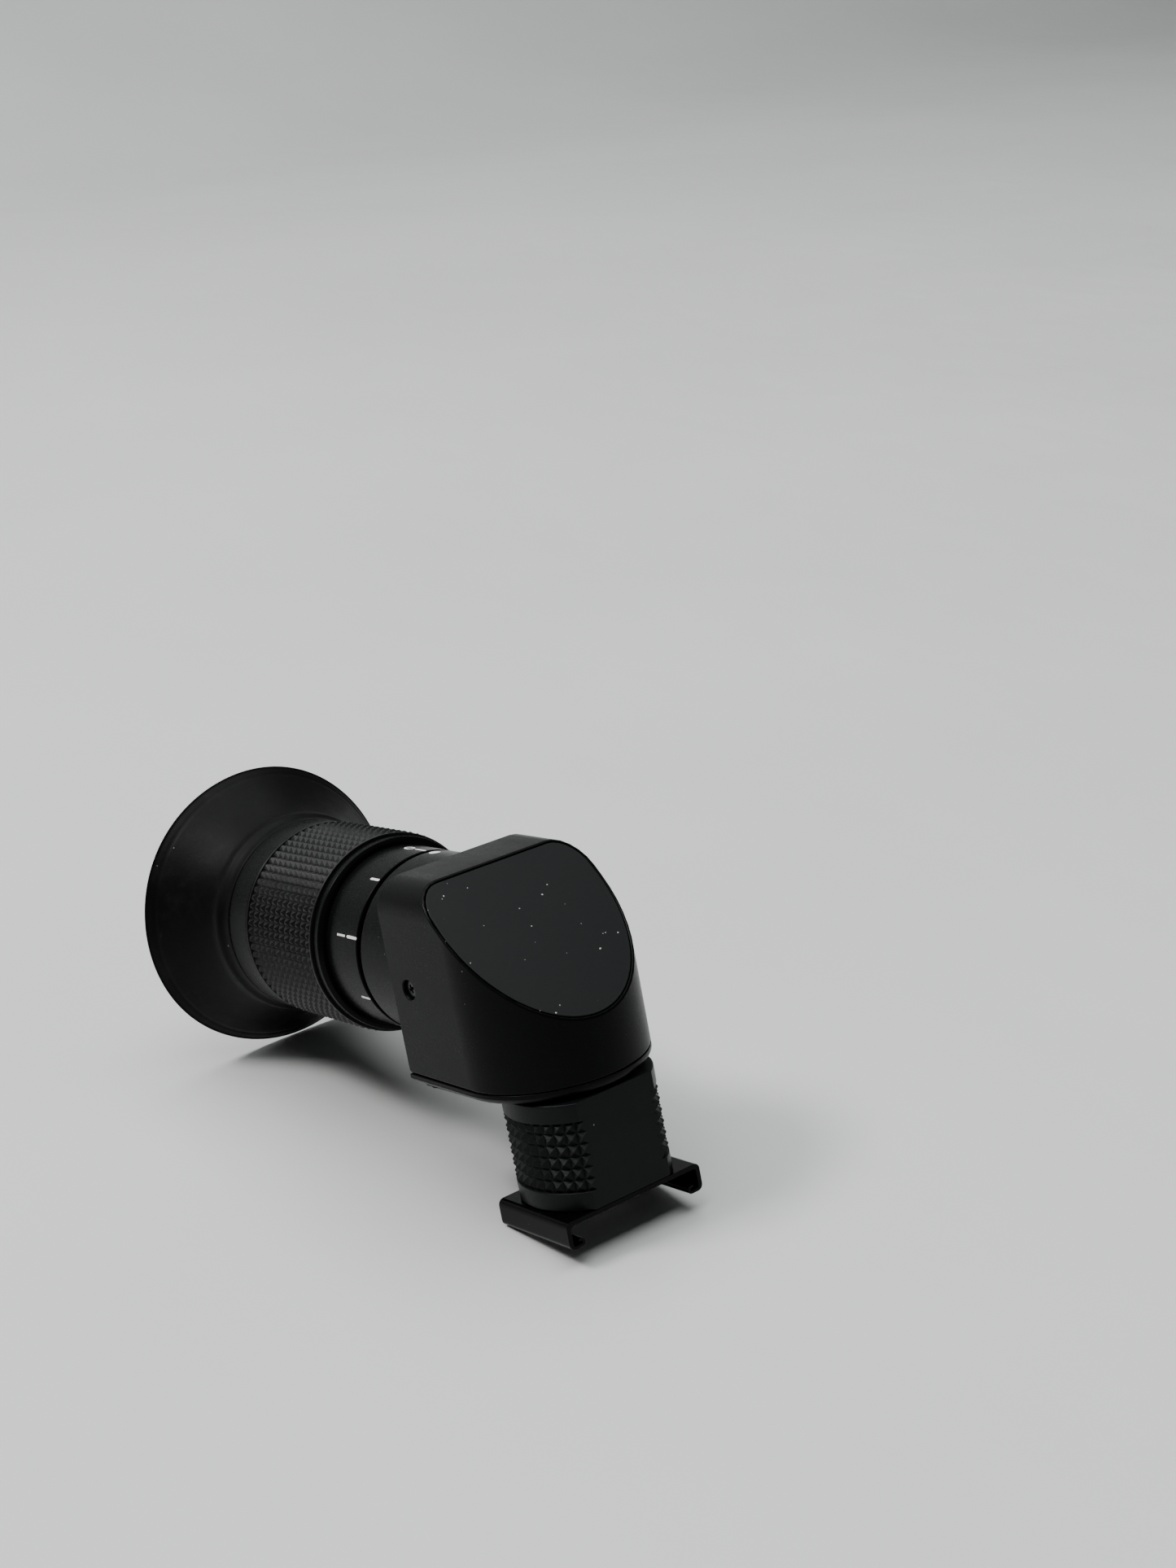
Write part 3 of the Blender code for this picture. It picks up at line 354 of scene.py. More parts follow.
def floor_finish():
    tree = Tree("pale_floor")
    broad = tree.noise(6, 3.0)
    scuff = tree.noise(90, 6.0, 0.7, stretch=(1.0, 0.3, 1.0))
    base = tree.mix(tree.ramp(broad, 0.3, 0.7), (0.66, 0.67, 0.66, 1), (0.70, 0.71, 0.70, 1))
    base = tree.mix(tree.ramp(scuff, 0.68, 0.80, 0, 0.12), base, (0.40, 0.40, 0.38, 1))
    return tree.give(Base_Color=base, Roughness=tree.ramp(scuff, 0.3, 0.7, 0.30, 0.42))


def make_floor():
    wide, ahead, behind, rise, turn_radius = 2.5, -2.0, 1.1, 1.8, 0.5
    outline = [(ahead, 0.0), (behind, 0.0)]
    for step in range(1, 13):
        angle = math.pi / 2 * step / 12
        outline.append((behind + turn_radius * math.sin(angle),
                        turn_radius * (1 - math.cos(angle))))
    outline.append((behind + turn_radius, rise))
    bm = bmesh.new()
    sides = [[bm.verts.new((x, y, z - 0.0001)) for y, z in outline] for x in (-wide, wide)]
    for index in range(len(outline) - 1):
        bm.faces.new((sides[0][index], sides[1][index], sides[1][index + 1],
                      sides[0][index + 1]))
    mesh = bpy.data.meshes.new("floor")
    bm.to_mesh(mesh)
    bm.free()
    mesh.shade_smooth()
    mesh.materials.append(floor_finish())
    floor = bpy.data.objects.new("floor", mesh)
    bpy.context.scene.collection.objects.link(floor)


def panel(name, place, aim, width, height, power, tint=(1, 1, 1)):
    light = bpy.data.lights.new(name, "AREA")
    light.shape = "RECTANGLE"
    light.size, light.size_y = width, height
    light.energy = power
    light.color = tint
    made = bpy.data.objects.new(name, light)
    bpy.context.scene.collection.objects.link(made)
    made.location = place
    made.rotation_euler = (Vector(aim) - Vector(place)).to_track_quat("-Z", "Y").to_euler()


make_floor()
panel("key_panel", (-0.75, 0.45, 1.25), (0, 0, 0.03), 0.42, 0.32, 14, (1.0, 1.0, 0.985))
panel("top_panel", (0.00, 0.20, 1.6), (0, 0.1, 0), 2.0, 1.7, 40, (0.96, 0.99, 0.985))
world = bpy.data.worlds.new("studio")
bpy.context.scene.world = world
world.use_nodes = True
air = world.node_tree.nodes["Background"]
air.inputs["Color"].default_value = (0.80, 0.83, 0.84, 1)
air.inputs["Strength"].default_value = 0.07
print("floor and lights")

# %% [markdown]
# ## Turned rings
#
# Most of the eyepiece is turned on a lathe, so most of it is drawn as one does on a lathe: an
# outline of radius against place, spun about an axis. A lathe never leaves a perfectly sharp
# corner, and it is the tiny rounded edge that draws the bright line round each ring. The
# `eased` helper swaps each corner for a small arc, whose size is written beside the corner.
# Spinning is exact and light; a Bevel modifier on a spun shape would also bevel its facets.

# %% Lathe helpers
RING_STEPS = 144


def eased(corners, steps=3):
    """Rounds each (radius, place, ease) corner of a closed outline, in millimetres."""
    points = []
    for index, (radius, place, ease) in enumerate(corners):
        here = Vector((radius, place))
        before = Vector(corners[index - 1][:2]) - here
        after = Vector(corners[(index + 1) % len(corners)][:2]) - here
        reach = min(ease, 0.45 * before.length, 0.45 * after.length)
        if reach < 0.001:
            points.append(tuple(here))
            continue
        start = here + before.normalized() * reach
        end = here + after.normalized() * reach
        for step in range(steps + 1):
            share = step / steps
            points.append(tuple(start.lerp(here, share).lerp(here.lerp(end, share), share)))
    return points


def spun(profile, along="Y", steps=RING_STEPS, wave=None):
    """Spins a closed outline of (radius, place) in millimetres about an axis."""
    bm = bmesh.new()
    rings = []
    for step in range(steps):
        angle = 2 * math.pi * step / steps
        ring = []
        for radius, place in profile:
            reach = radius * MM * (wave(angle, radius, place) if wave else 1)
            x, other = reach * math.cos(angle), reach * math.sin(angle)
            point = (x, place * MM, other) if along == "Y" else (x, other, place * MM)
            ring.append(bm.verts.new(point))
        rings.append(ring)
    count = len(profile)
    for step in range(steps):
        first, second = rings[step], rings[(step + 1) % steps]
        for index in range(count):
            following = (index + 1) % count
            bm.faces.new((first[index], first[following], second[following], second[index]))
    bmesh.ops.remove_doubles(bm, verts=bm.verts, dist=1e-7)
    bmesh.ops.dissolve_degenerate(bm, edges=bm.edges, dist=1e-8)
    bmesh.ops.recalc_face_normals(bm, faces=bm.faces)
    return bm


def mesh_of(name, bm, finish, crease=35.0):
    mesh = bpy.data.meshes.new(name)
    bm.to_mesh(mesh)
    bm.free()
    mesh.materials.append(finish)
    mesh.shade_smooth()
    mesh.set_sharp_from_angle(angle=math.radians(crease))
    return mesh


def helper_of(name, bm, finish=None, crease=35.0):
    """A bmesh as an object that other steps use; it is not a piece yet."""
    made = bpy.data.objects.new(name, mesh_of(name, bm, finish, crease))
    bpy.context.scene.collection.objects.link(made)
    return made


def settled(made):
    """Applies an object's modifiers and gives its plain mesh back."""
    bpy.context.view_layer.update()
    graph = bpy.context.evaluated_depsgraph_get()
    mesh = bpy.data.meshes.new_from_object(made.evaluated_get(graph), depsgraph=graph)
    made.modifiers.clear()
    made.data = mesh
    return made


def keep(made, body, replaced=(), place=True):
    """Carries a helper drawn in the working frame to its real place, as a piece on its body."""
    if place:
        made.data.transform(TO_PLACE)
    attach(made, body)
    if replaced:
        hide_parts(*replaced)
    print(f"{made.name}: {len(made.data.polygons)} faces")
    return made


def remove(*helpers):
    for one in helpers:
        bpy.data.objects.remove(one, do_unlink=True)


def cut(target, tools, operation="DIFFERENCE"):
    for tool in tools:
        step = target.modifiers.new("cut", "BOOLEAN")
        step.operation = operation
        step.solver = "EXACT"
        step.object = tool
    settled(target)
    remove(*tools)
    return target


def box_tool(name, low, high):
    bm = bmesh.new()
    bmesh.ops.create_cube(bm, size=1.0)
    low, high = Vector(low) * MM, Vector(high) * MM
    for vert in bm.verts:
        vert.co = (low + high) / 2 + Vector(a * b for a, b in zip(vert.co, high - low))
    return helper_of(name, bm)


def ring_piece(name, corners, finish, body, replaced, along="Y", steps=RING_STEPS,
               tools=()):
    made = helper_of(name, spun(eased(corners), along, steps), finish)
    if tools:
        cut(made, tools)
    weigh = made.modifiers.new("weigh", "WEIGHTED_NORMAL")
    weigh.keep_sharp = True
    return keep(settled(made), body, replaced)


print("lathe helpers ready")

# %% Places along the eyepiece, read from the solids in millimetres
ends = {}
for node in frame["nodes"]:
    low, high = local_box(node)
    ends[node] = ([value / MM for value in low], [value / MM for value in high])


def front_of(node, axis=1):
    return ends[node][0][axis]


def back_of(node, axis=1):
    return ends[node][1][axis]


def reach_of(node):
    return ends[node][1][0]


BARREL = reach_of("fixed_barrel")
SCALE = reach_of("scale_ring")
RIDGE = reach_of("focus_core")
GRIP = reach_of("rubber_grip")
END = reach_of("grip_end_ring")
SCALE_FRONT, SCALE_BACK = front_of("scale_ring"), back_of("scale_ring")
GRIP_FRONT, GRIP_BACK = front_of("rubber_grip"), back_of("rubber_grip")
END_FRONT, END_BACK = front_of("grip_end_ring"), back_of("grip_end_ring")
CORE_BACK = back_of("focus_core")
print("rings:", [round(v, 2) for v in (BARREL, SCALE, RIDGE, GRIP, END)])

# %% [markdown]
# ### The fixed barrel
#
# The plain ring against the housing's back never turns; its dot is what the dial is read
# against. The same piece runs on inside as the track for the focusing ring and the lens cell,
# so its whole outline is spun at once. The part that shows ends in a fine chamfer on each side.

# %% Fixed barrel
TRACK = 11.20
TRACK_END = front_of("focus_stop_ring") - 0.05
THREAD = TRACK - 0.9
CELL_ROOM = reach_of("lens_cell") + 0.08
CELL_END = front_of("lens_cell") - 3.24
LENS_RIM = reach_of("field_lens") + 0.05
MOUTH = LENS_RIM - 1.0
LENS_SEAT = front_of("field_lens") - 0.05
SPIGOT = 9.75
SEAT_Y = back_of("prism_housing") + 0.1
BARREL_BACK = SCALE_FRONT - 1.1
FINE = 0.16
PIN = back_of("drive_pin", 2)
PIN_Y = (front_of("drive_pin") + back_of("drive_pin")) / 2
TRAVEL = 2.64
slot = box_tool("key_slot_tool", (8.9, PIN_Y - TRAVEL - PIN - 0.32, -PIN - 0.16),
                (12.2, PIN_Y + TRAVEL + PIN + 0.32, PIN + 0.16))
ring_piece("barrel_with_track", [
    (MOUTH, front_of("fixed_barrel"), 0), (SPIGOT, front_of("fixed_barrel"), FINE),
    (SPIGOT, SEAT_Y, 0), (BARREL, SEAT_Y, FINE), (BARREL, BARREL_BACK, 0.22),
    (TRACK, BARREL_BACK, 0), (TRACK, TRACK_END, FINE), (THREAD, TRACK_END, 0),
    (THREAD, back_of("fixed_barrel"), FINE), (CELL_ROOM, back_of("fixed_barrel"), 0),
    (CELL_ROOM, CELL_END, 0), (LENS_RIM, CELL_END, 0), (LENS_RIM, LENS_SEAT, 0),
    (MOUTH, LENS_SEAT, 0)], ring_black, "housing", ["fixed_barrel"],
    tools=[slot])

# %% [markdown]
# ### The focusing ring's metal parts
#
# The core is one turned tube. All that shows of it is a narrow raised ridge between the dial
# and the grip, a flat band with a small chamfer on its front edge. The dial
# is a thin sleeve in front of the ridge, and a plain ring of the same height closes the grip.

# %% Focusing core, dial sleeve and end ring
CORE_BORE = 11.28
SCALE_SEAT = 12.2
GRIP_SEAT = 13.2
CORE_END_BORE = 11.88
CORE_SPIGOT = 12.88
HALF_TURN = math.radians(166)


def cam_tool():
    """The cam groove's block, swept round inside the core as the drive pin travels."""
    bm = bmesh.new()
    steps, half, reach = 72, PIN + 0.24, 2 * (HALF_TURN + 0.09)
    corners = ((CORE_BORE - 0.2, -half), (12.38, -half), (12.38, half), (CORE_BORE - 0.2, half))
    sections = []
    for index in range(steps + 1):
        turn = reach * (index / steps - 0.5)
        angle = math.pi / 2 - turn
        place = PIN_Y + TRAVEL * turn / HALF_TURN
        sections.append([bm.verts.new(Vector((r * math.sin(angle), place + side,
                                              r * math.cos(angle))) * MM)
                         for r, side in corners])
    for before, after in zip(sections, sections[1:]):
        for corner in range(4):
            following = (corner + 1) % 4
            bm.faces.new((before[corner], before[following], after[following], after[corner]))
    bm.faces.new(sections[0])
    bm.faces.new(list(reversed(sections[-1])))
    bmesh.ops.recalc_face_normals(bm, faces=bm.faces)
    return helper_of("cam_groove_tool", bm)


ring_piece("focusing_core", [
    (CORE_BORE, SCALE_FRONT, 0.1), (SCALE_SEAT, SCALE_FRONT, 0.1),
    (SCALE_SEAT, SCALE_BACK + 0.1, 0), (SCALE + 0.55, SCALE_BACK + 0.1, 0.12),
    (RIDGE, SCALE_BACK + 0.42, 0.18), (RIDGE, GRIP_FRONT - 0.1, 0.08),
    (GRIP_SEAT, GRIP_FRONT - 0.1, 0), (GRIP_SEAT, GRIP_BACK, 0), (CORE_SPIGOT, GRIP_BACK, 0),
    (CORE_SPIGOT, CORE_BACK, 0.15), (CORE_END_BORE, CORE_BACK, 0.15),
    (CORE_END_BORE, TRACK_END, 0), (CORE_BORE, TRACK_END, 0)],
    ring_black, "focus_ring", ["focus_core"], tools=[cam_tool()])
ring_piece("dial_sleeve", [
    (SCALE_SEAT + 0.05, SCALE_FRONT, 0), (SCALE, SCALE_FRONT, 0.22),
    (SCALE, SCALE_BACK, 0.16), (SCALE_SEAT + 0.05, SCALE_BACK, 0)],
    ring_black, "focus_ring", ["scale_ring"])
ring_piece("grip_closing_ring", [
    (CORE_SPIGOT + 0.05, END_FRONT, 0), (END, END_FRONT, 0.2), (END, END_BACK, 0.28),
    (CORE_SPIGOT + 0.05, END_BACK, 0)], ring_black, "focus_ring", ["grip_end_ring"])

# %% [markdown]
# ### Marks on the dial
#
# The dial's marks are engraved and filled with white paint. Here each mark is a thin raised
# film wrapped on its ring: a flat shape is drawn with its own right and up, and every corner is
# then laid on the cylinder. Numbers come from Blender's own font and are made a mesh before
# they are wrapped. They stand with their tops towards the eyecup, for the user looks from there.

# %% White marks
FILM = 0.035
ZERO_MARK = -6.5
WHOLE_MARKS = {"-1": -97.0, "0": ZERO_MARK, "1": 71.0, "2": 153.0}
HALF_MARKS = (-139.0, -55.0, 31.5, 111.5)


def wrapped(bm, radius, angle, place):
    """Lays a flat drawing, in millimetres, on a ring; the angle runs from the top to -X."""
    for vert in bm.verts:
        run, up, height = vert.co
        turned_by = math.radians(angle) - run / radius
        reach = (radius + height) * MM
        vert.co = (-reach * math.sin(turned_by), (place + up) * MM, reach * math.cos(turned_by))
    return bm


def tick(width, length):
    bm = bmesh.new()
    bmesh.ops.create_cube(bm, size=1.0)
    for vert in bm.verts:
        vert.co = Vector((vert.co.x * width, (vert.co.y + 0.5) * length,
                          (vert.co.z + 0.5) * 2 * FILM - FILM))
    upright = [e for e in bm.edges if abs(e.verts[0].co.z - e.verts[1].co.z) > FILM]
    bmesh.ops.bevel(bm, geom=upright, offset=width * 0.3, segments=2, affect="EDGES")
    return bm


def number(text, size):
    curve = bpy.data.curves.new("number", "FONT")
    curve.body = text
    curve.size = size
    curve.align_x = "CENTER"
    curve.extrude = FILM
    curve.offset = 0.008
    curve.resolution_u = 5
    drawn = bpy.data.objects.new("number", curve)
    bpy.context.scene.collection.objects.link(drawn)
    bpy.context.view_layer.update()
    graph = bpy.context.evaluated_depsgraph_get()
    mesh = bpy.data.meshes.new_from_object(drawn.evaluated_get(graph), depsgraph=graph)
    remove(drawn)
    bm = bmesh.new()
    bm.from_mesh(mesh)
    bpy.data.meshes.remove(mesh)
    bmesh.ops.remove_doubles(bm, verts=bm.verts, dist=1e-4)
    return bm


def disc(radius):
    bm = bmesh.new()
    bmesh.ops.create_cone(bm, cap_ends=True, segments=24, radius1=radius, radius2=radius,
                          depth=2 * FILM)
    return bm


def joined(shapes):
    whole = bmesh.new()
    for bm in shapes:
        part = bpy.data.meshes.new("part")
        bm.to_mesh(part)
        bm.free()
        whole.from_mesh(part)
        bpy.data.meshes.remove(part)
    bmesh.ops.recalc_face_normals(whole, faces=whole.faces)
    return whole


shapes = []
for value, angle in WHOLE_MARKS.items():
    shapes.append(wrapped(tick(0.42, 2.75), SCALE, angle, SCALE_FRONT + 0.02))
    shapes.append(wrapped(number(value, 3.1), SCALE, angle, SCALE_FRONT + 3.3))
for angle in HALF_MARKS:
    shapes.append(wrapped(tick(0.38, 2.4), SCALE, angle, SCALE_FRONT + 0.1))
keep(helper_of("dial_marks", joined(shapes), white_print), "focus_ring", ())
dot = wrapped(disc(0.85), BARREL, ZERO_MARK, BARREL_BACK - 1.3)
keep(helper_of("index_dot", dot, white_print), "housing", ())

# %% [markdown]
# ### Studs by rule
#
# The rubber grip is covered by hundreds of small four-sided studs in straight rows, and the
# metal sleeve below the housing has the same pattern, coarser. Each is one stud repeated by a
# rule, which is work for Geometry Nodes. The tree takes the stud as an object, counts its
# columns and rows, turns each point's number into an angle and a height, and stands a stud
# there. It works about the Z axis; a ring on the eyepiece is tipped over afterwards.

# %% The node tree for studs on a round


def studs_tree():
    tree = bpy.data.node_groups.new("studs_on_a_round", "GeometryNodeTree")
    face = tree.interface
    sockets = [("Stud", "NodeSocketObject", None), ("Columns", "NodeSocketInt", 12),
               ("Rows", "NodeSocketInt", 6), ("First Angle", "NodeSocketFloat", 0.0),
               ("Angle Step", "NodeSocketFloat", 0.1), ("First Height", "NodeSocketFloat", 0.0),
               ("Height Step", "NodeSocketFloat", 0.001), ("Radius", "NodeSocketFloat", 0.01),
               ("Finish", "NodeSocketMaterial", None)]
    face.new_socket("Geometry", in_out="OUTPUT", socket_type="NodeSocketGeometry")
    for name, kind, value in sockets:
        made = face.new_socket(name, in_out="INPUT", socket_type=kind)
        if value is not None:
            made.default_value = value
    given = tree.nodes.new("NodeGroupInput").outputs

    def math_node(operation, first, second):
        node = tree.nodes.new("ShaderNodeMath")
        node.operation = operation
        for slot, value in enumerate((first, second)):
            if isinstance(value, bpy.types.NodeSocket):
                tree.links.new(value, node.inputs[slot])
            elif value is not None:
                node.inputs[slot].default_value = value
        return node.outputs[0]

    def link(source, target):
        tree.links.new(source, target)

    count = math_node("MULTIPLY", given["Columns"], given["Rows"])
    points = tree.nodes.new("GeometryNodePoints")
    link(count, points.inputs["Count"])
    index = tree.nodes.new("GeometryNodeInputIndex").outputs[0]
    column = math_node("MODULO", index, given["Columns"])
    row = math_node("FLOOR", math_node("DIVIDE", index, given["Columns"]), None)
    angle = math_node("ADD", given["First Angle"],
                      math_node("MULTIPLY", column, given["Angle Step"]))
    height = math_node("ADD", given["First Height"],
                       math_node("MULTIPLY", row, given["Height Step"]))
    place = tree.nodes.new("ShaderNodeCombineXYZ")
    link(math_node("MULTIPLY", given["Radius"], math_node("COSINE", angle, None)),
         place.inputs[0])
    link(math_node("MULTIPLY", given["Radius"], math_node("SINE", angle, None)),
         place.inputs[1])
    link(height, place.inputs[2])
    put = tree.nodes.new("GeometryNodeSetPosition")
    link(points.outputs[0], put.inputs["Geometry"])
    link(place.outputs[0], put.inputs["Position"])
    euler = tree.nodes.new("ShaderNodeCombineXYZ")
    link(angle, euler.inputs[2])
    turned_to = tree.nodes.new("FunctionNodeEulerToRotation")
    link(euler.outputs[0], turned_to.inputs[0])
    source = tree.nodes.new("GeometryNodeObjectInfo")
    link(given["Stud"], source.inputs["Object"])
    stand = tree.nodes.new("GeometryNodeInstanceOnPoints")
    link(put.outputs[0], stand.inputs["Points"])
    link(source.outputs["Geometry"], stand.inputs["Instance"])
    link(turned_to.outputs[0], stand.inputs["Rotation"])
    real = tree.nodes.new("GeometryNodeRealizeInstances")
    link(stand.outputs[0], real.inputs[0])
    finish = tree.nodes.new("GeometryNodeSetMaterial")
    link(real.outputs[0], finish.inputs["Geometry"])
    link(given["Finish"], finish.inputs["Material"])
    out = tree.nodes.new("NodeGroupOutput")
    link(finish.outputs[0], out.inputs[0])
    return tree


STUDS = studs_tree()


def studded(name, inputs, finish):
    """Runs the stud tree and gives back an object with a plain mesh, still about Z."""
    made = bpy.data.objects.new(name, bpy.data.meshes.new(name))
    bpy.context.scene.collection.objects.link(made)
    run = made.modifiers.new("studs", "NODES")
    run.node_group = STUDS
    keys = {item.name: item.identifier for item in STUDS.interface.items_tree
            if item.in_out == "INPUT"}
    for key, value in {**inputs, "Finish": finish}.items():
        run[keys[key]] = value
    return settled(made)


def stud(name, wide, high, tall, blunt, crown=0.0):
    """A four-sided stud on its side: its foot in the YZ plane and its tip towards +X."""
    bm = bmesh.new()
    foot = [(0, -wide / 2, -high / 2), (0, wide / 2, -high / 2), (0, wide / 2, high / 2),
            (0, -wide / 2, high / 2)]
    sunk = [bm.verts.new(Vector((x - tall * 0.5, y, z)) * MM) for x, y, z in foot]
    low = [bm.verts.new(Vector(corner) * MM) for corner in foot]
    top = [bm.verts.new(Vector((tall - crown, y * blunt, z * blunt)) * MM) for x, y, z in foot]
    bm.faces.new(list(reversed(sunk)))
    for index in range(4):
        after = (index + 1) % 4
        bm.faces.new((sunk[index], sunk[after], low[after], low[index]))
        bm.faces.new((low[index], low[after], top[after], top[index]))
    if crown:
        tip = bm.verts.new((tall * MM, 0, 0))
        for index in range(4):
            bm.faces.new((top[index], top[(index + 1) % 4], tip))
    else:
        bm.faces.new(top)
    bmesh.ops.recalc_face_normals(bm, faces=bm.faces)
    return helper_of(name, bm)


print("stud tree has", len(STUDS.nodes), "nodes")

# %% [markdown]
# ### The rubber grip
#
# The grip is a moulded rubber sleeve. Its studs are small and soft, twelve along and about
# seventy round, and they meet foot to foot, so that their flanks draw bright chevrons in rows
# where the light grazes them. A plain band is left at each end. Studs and sleeve are two
# closed shapes kept as two pieces on the same body, the studs sunk a little into the sleeve.

# %% Rubber grip
GRIP_COLUMNS = 72
GRIP_ROWS = 12
GRIP_MARGIN = 0.35
STUD_TALL = 0.60
grip_floor = GRIP - STUD_TALL + 0.06
row_step = (GRIP_BACK - GRIP_FRONT - 2 * GRIP_MARGIN) / GRIP_ROWS
grip_body = helper_of("rubber_grip_sleeve", spun(eased([
    (GRIP_SEAT + 0.05, GRIP_FRONT, 0), (GRIP - 0.10, GRIP_FRONT, 0.15),
    (GRIP - 0.10, GRIP_FRONT + GRIP_MARGIN, 0.1), (grip_floor, GRIP_FRONT + GRIP_MARGIN + 0.1, 0),
    (grip_floor, GRIP_BACK - GRIP_MARGIN - 0.1, 0), (GRIP - 0.10, GRIP_BACK - GRIP_MARGIN, 0.1),
    (GRIP - 0.10, GRIP_BACK, 0.15), (GRIP_SEAT + 0.05, GRIP_BACK, 0)])), grip_rubber)
one_stud = stud("grip_stud", 2 * math.pi * grip_floor / GRIP_COLUMNS, row_step, STUD_TALL,
                0.14, 0.05)
grip_studs = studded("rubber_grip_studs", {
    "Stud": one_stud, "Columns": GRIP_COLUMNS, "Rows": GRIP_ROWS, "First Angle": 0.0,
    "Angle Step": 2 * math.pi / GRIP_COLUMNS,
    "First Height": (GRIP_FRONT + GRIP_MARGIN + row_step / 2) * MM, "Height Step": row_step * MM,
    "Radius": grip_floor * MM}, grip_rubber)
# Z runs along the eyepiece after this turn, and the studs stay the right way out.
grip_studs.data.transform(Matrix.Rotation(-math.pi / 2, 4, "X"))
remove(one_stud)
keep(grip_body, "focus_ring", ["rubber_grip"])
keep(grip_studs, "focus_ring", ())

# %% [markdown]
# ### The eyecup
#
# The eyecup is one soft rubber trumpet. Its root grips the ring behind the knurling, then a
# small rounded shoulder starts the flare, and the thin rim carries a fine bead line just
# inside its edge. Old rubber is never truly round, so a slow wave of about a tenth of a
# millimetre runs round it and grows towards the rim. It is spun like the metal, only softer.

# %% Eyecup
CUP_FRONT, CUP_BACK = front_of("eyecup"), back_of("eyecup")
CUP_ROOT = 14.8
CUP_RIM = reach_of("eyecup")
CUP_WALL = 0.95
cup_length = CUP_BACK - CUP_FRONT


def cup_radius(share):
    shoulder = 0.34 * math.exp(-((share - 0.17) / 0.055) ** 2)
    bead = 0.10 * math.exp(-((share - 0.90) / 0.012) ** 2)
    flare = (CUP_RIM - CUP_ROOT) * (0.10 * share + 0.90 * share ** 1.6)
    return CUP_ROOT + flare + shoulder - bead


outer = [(CUP_ROOT - 0.12, CUP_FRONT, 0), (CUP_ROOT, CUP_FRONT + 0.12, 0)]
for step in range(2, 60):
    share = step / 60
    outer.append((cup_radius(share), CUP_FRONT + cup_length * share, 0))
rim = [(CUP_RIM - 0.10, CUP_BACK - 0.22, 0), (CUP_RIM, CUP_BACK - 0.10, 0),
       (CUP_RIM - 0.08, CUP_BACK, 0), (CUP_RIM - 0.45, CUP_BACK, 0),
       (CUP_RIM - 0.62, CUP_BACK - 0.16, 0)]
inner = []
for step in range(56, 14, -2):
    share = step / 60
    place = CUP_FRONT + cup_length * share + 0.33
    if place > CORE_BACK + 0.8:
        inner.append((cup_radius(share) - CUP_WALL * 1.15, place, 0))
seat = [(CORE_SPIGOT + 0.05, CORE_BACK + 0.3, 0), (CORE_SPIGOT + 0.05, CUP_FRONT, 0)]


def cup_wave(angle, radius, place):
    grow = max(0.0, (place - CUP_FRONT) / cup_length) ** 2
    return 1 + grow * (0.0045 * math.sin(2 * angle + 0.8) + 0.0020 * math.sin(5 * angle + 2.0))


cup = spun([point[:2] for point in outer + rim + inner + seat], wave=cup_wave, steps=168)
keep(helper_of("eyecup_trumpet", cup, cup_rubber, 50), "focus_ring", ["eyecup"])

# %% [markdown]
# ### Lenses, their cell and rings
#
# The eye lens is the one that the user sees: a bulging glass behind a slotted black ring, in a
# cell that slides as the ring is turned. Real lens faces are spheres, so the glass is spun from
# an arc with many steps; the CAD's four steps would show as facets in its reflection. The
# objective under the housing is made in the same way, about the swivel's axis.

# %% Lenses and rings


def lens_corners(rim, low, high, bulge_low, bulge_high, land=1.0, steps=14):
    """A closed outline of one lens, from the middle of its low face to that of its high face."""
    edge = rim - land
    points = [(0.0, low - bulge_low)]
    for step in range(1, steps + 1):
        share = step / steps
        points.append((edge * share, low - bulge_low * (1 - share ** 2)))
    points += [(rim, low), (rim, high)]
    for step in range(steps, 0, -1):
        share = step / steps
        points.append((edge * share, high + bulge_high * (1 - share ** 2)))
    points.append((0.0, high + bulge_high))
    return points


def lens_piece(name, node, axis, bulge_low, bulge_high, body, along):
    low = front_of(node, axis) + bulge_low
    high = back_of(node, axis) - bulge_high
    bm = spun(lens_corners(reach_of(node), low, high, bulge_low, bulge_high), along, 96)
    return keep(helper_of(name, bm, clear_glass, 50), body, [node])


lens_piece("eye_lens_glass", "eye_lens", 1, 0.7, 0.9, "lens_cell", "Y")
lens_piece("objective_glass", "objective_lens", 2, 0.4, 0.0, "housing", "Z")

CELL, CELL_BORE = reach_of("lens_cell"), 8.82
CELL_FRONT, CELL_BACK = front_of("lens_cell"), back_of("lens_cell")
ring_piece("sliding_cell", [
    (CELL_BORE - 0.9, CELL_FRONT, 0), (CELL, CELL_FRONT, 0.15), (CELL, CELL_BACK, 0.2),
    (CELL_BORE, CELL_BACK, 0.25), (CELL_BORE, CELL_FRONT + 1.15, 0),
    (CELL_BORE - 0.9, CELL_FRONT + 1.15, 0)], inner_black, "lens_cell", ["lens_cell"],
    tools=[box_tool("pin_hole_tool", (7.5, PIN_Y - PIN - 0.1, -PIN - 0.1),
                                   (10.5, PIN_Y + PIN + 0.1, PIN + 0.1))])
RING_FRONT, RING_BACK = front_of("lens_retaining_ring"), back_of("lens_retaining_ring")
ring_piece("eye_lens_ring", [
    (CELL_BORE - 1.05, RING_FRONT, 0), (CELL_BORE - 0.05, RING_FRONT, 0),
    (CELL_BORE - 0.05, RING_BACK, 0.1), (CELL_BORE - 0.75, RING_BACK, 0.15),
    (CELL_BORE - 1.05, RING_BACK - 0.5, 0.1)], ring_black, "lens_cell",
    ["lens_retaining_ring"])
rim = reach_of("objective_retainer")
low, high = front_of("objective_retainer", 2), back_of("objective_retainer", 2)
ring_piece("objective_ring", [
    (rim - 1.0, high, 0), (rim - 1.0, low + 0.5, 0.1), (rim - 0.6, low, 0.15), (rim, low, 0.1),
    (rim, high, 0)], ring_black, "housing", ["objective_retainer"], "Z")

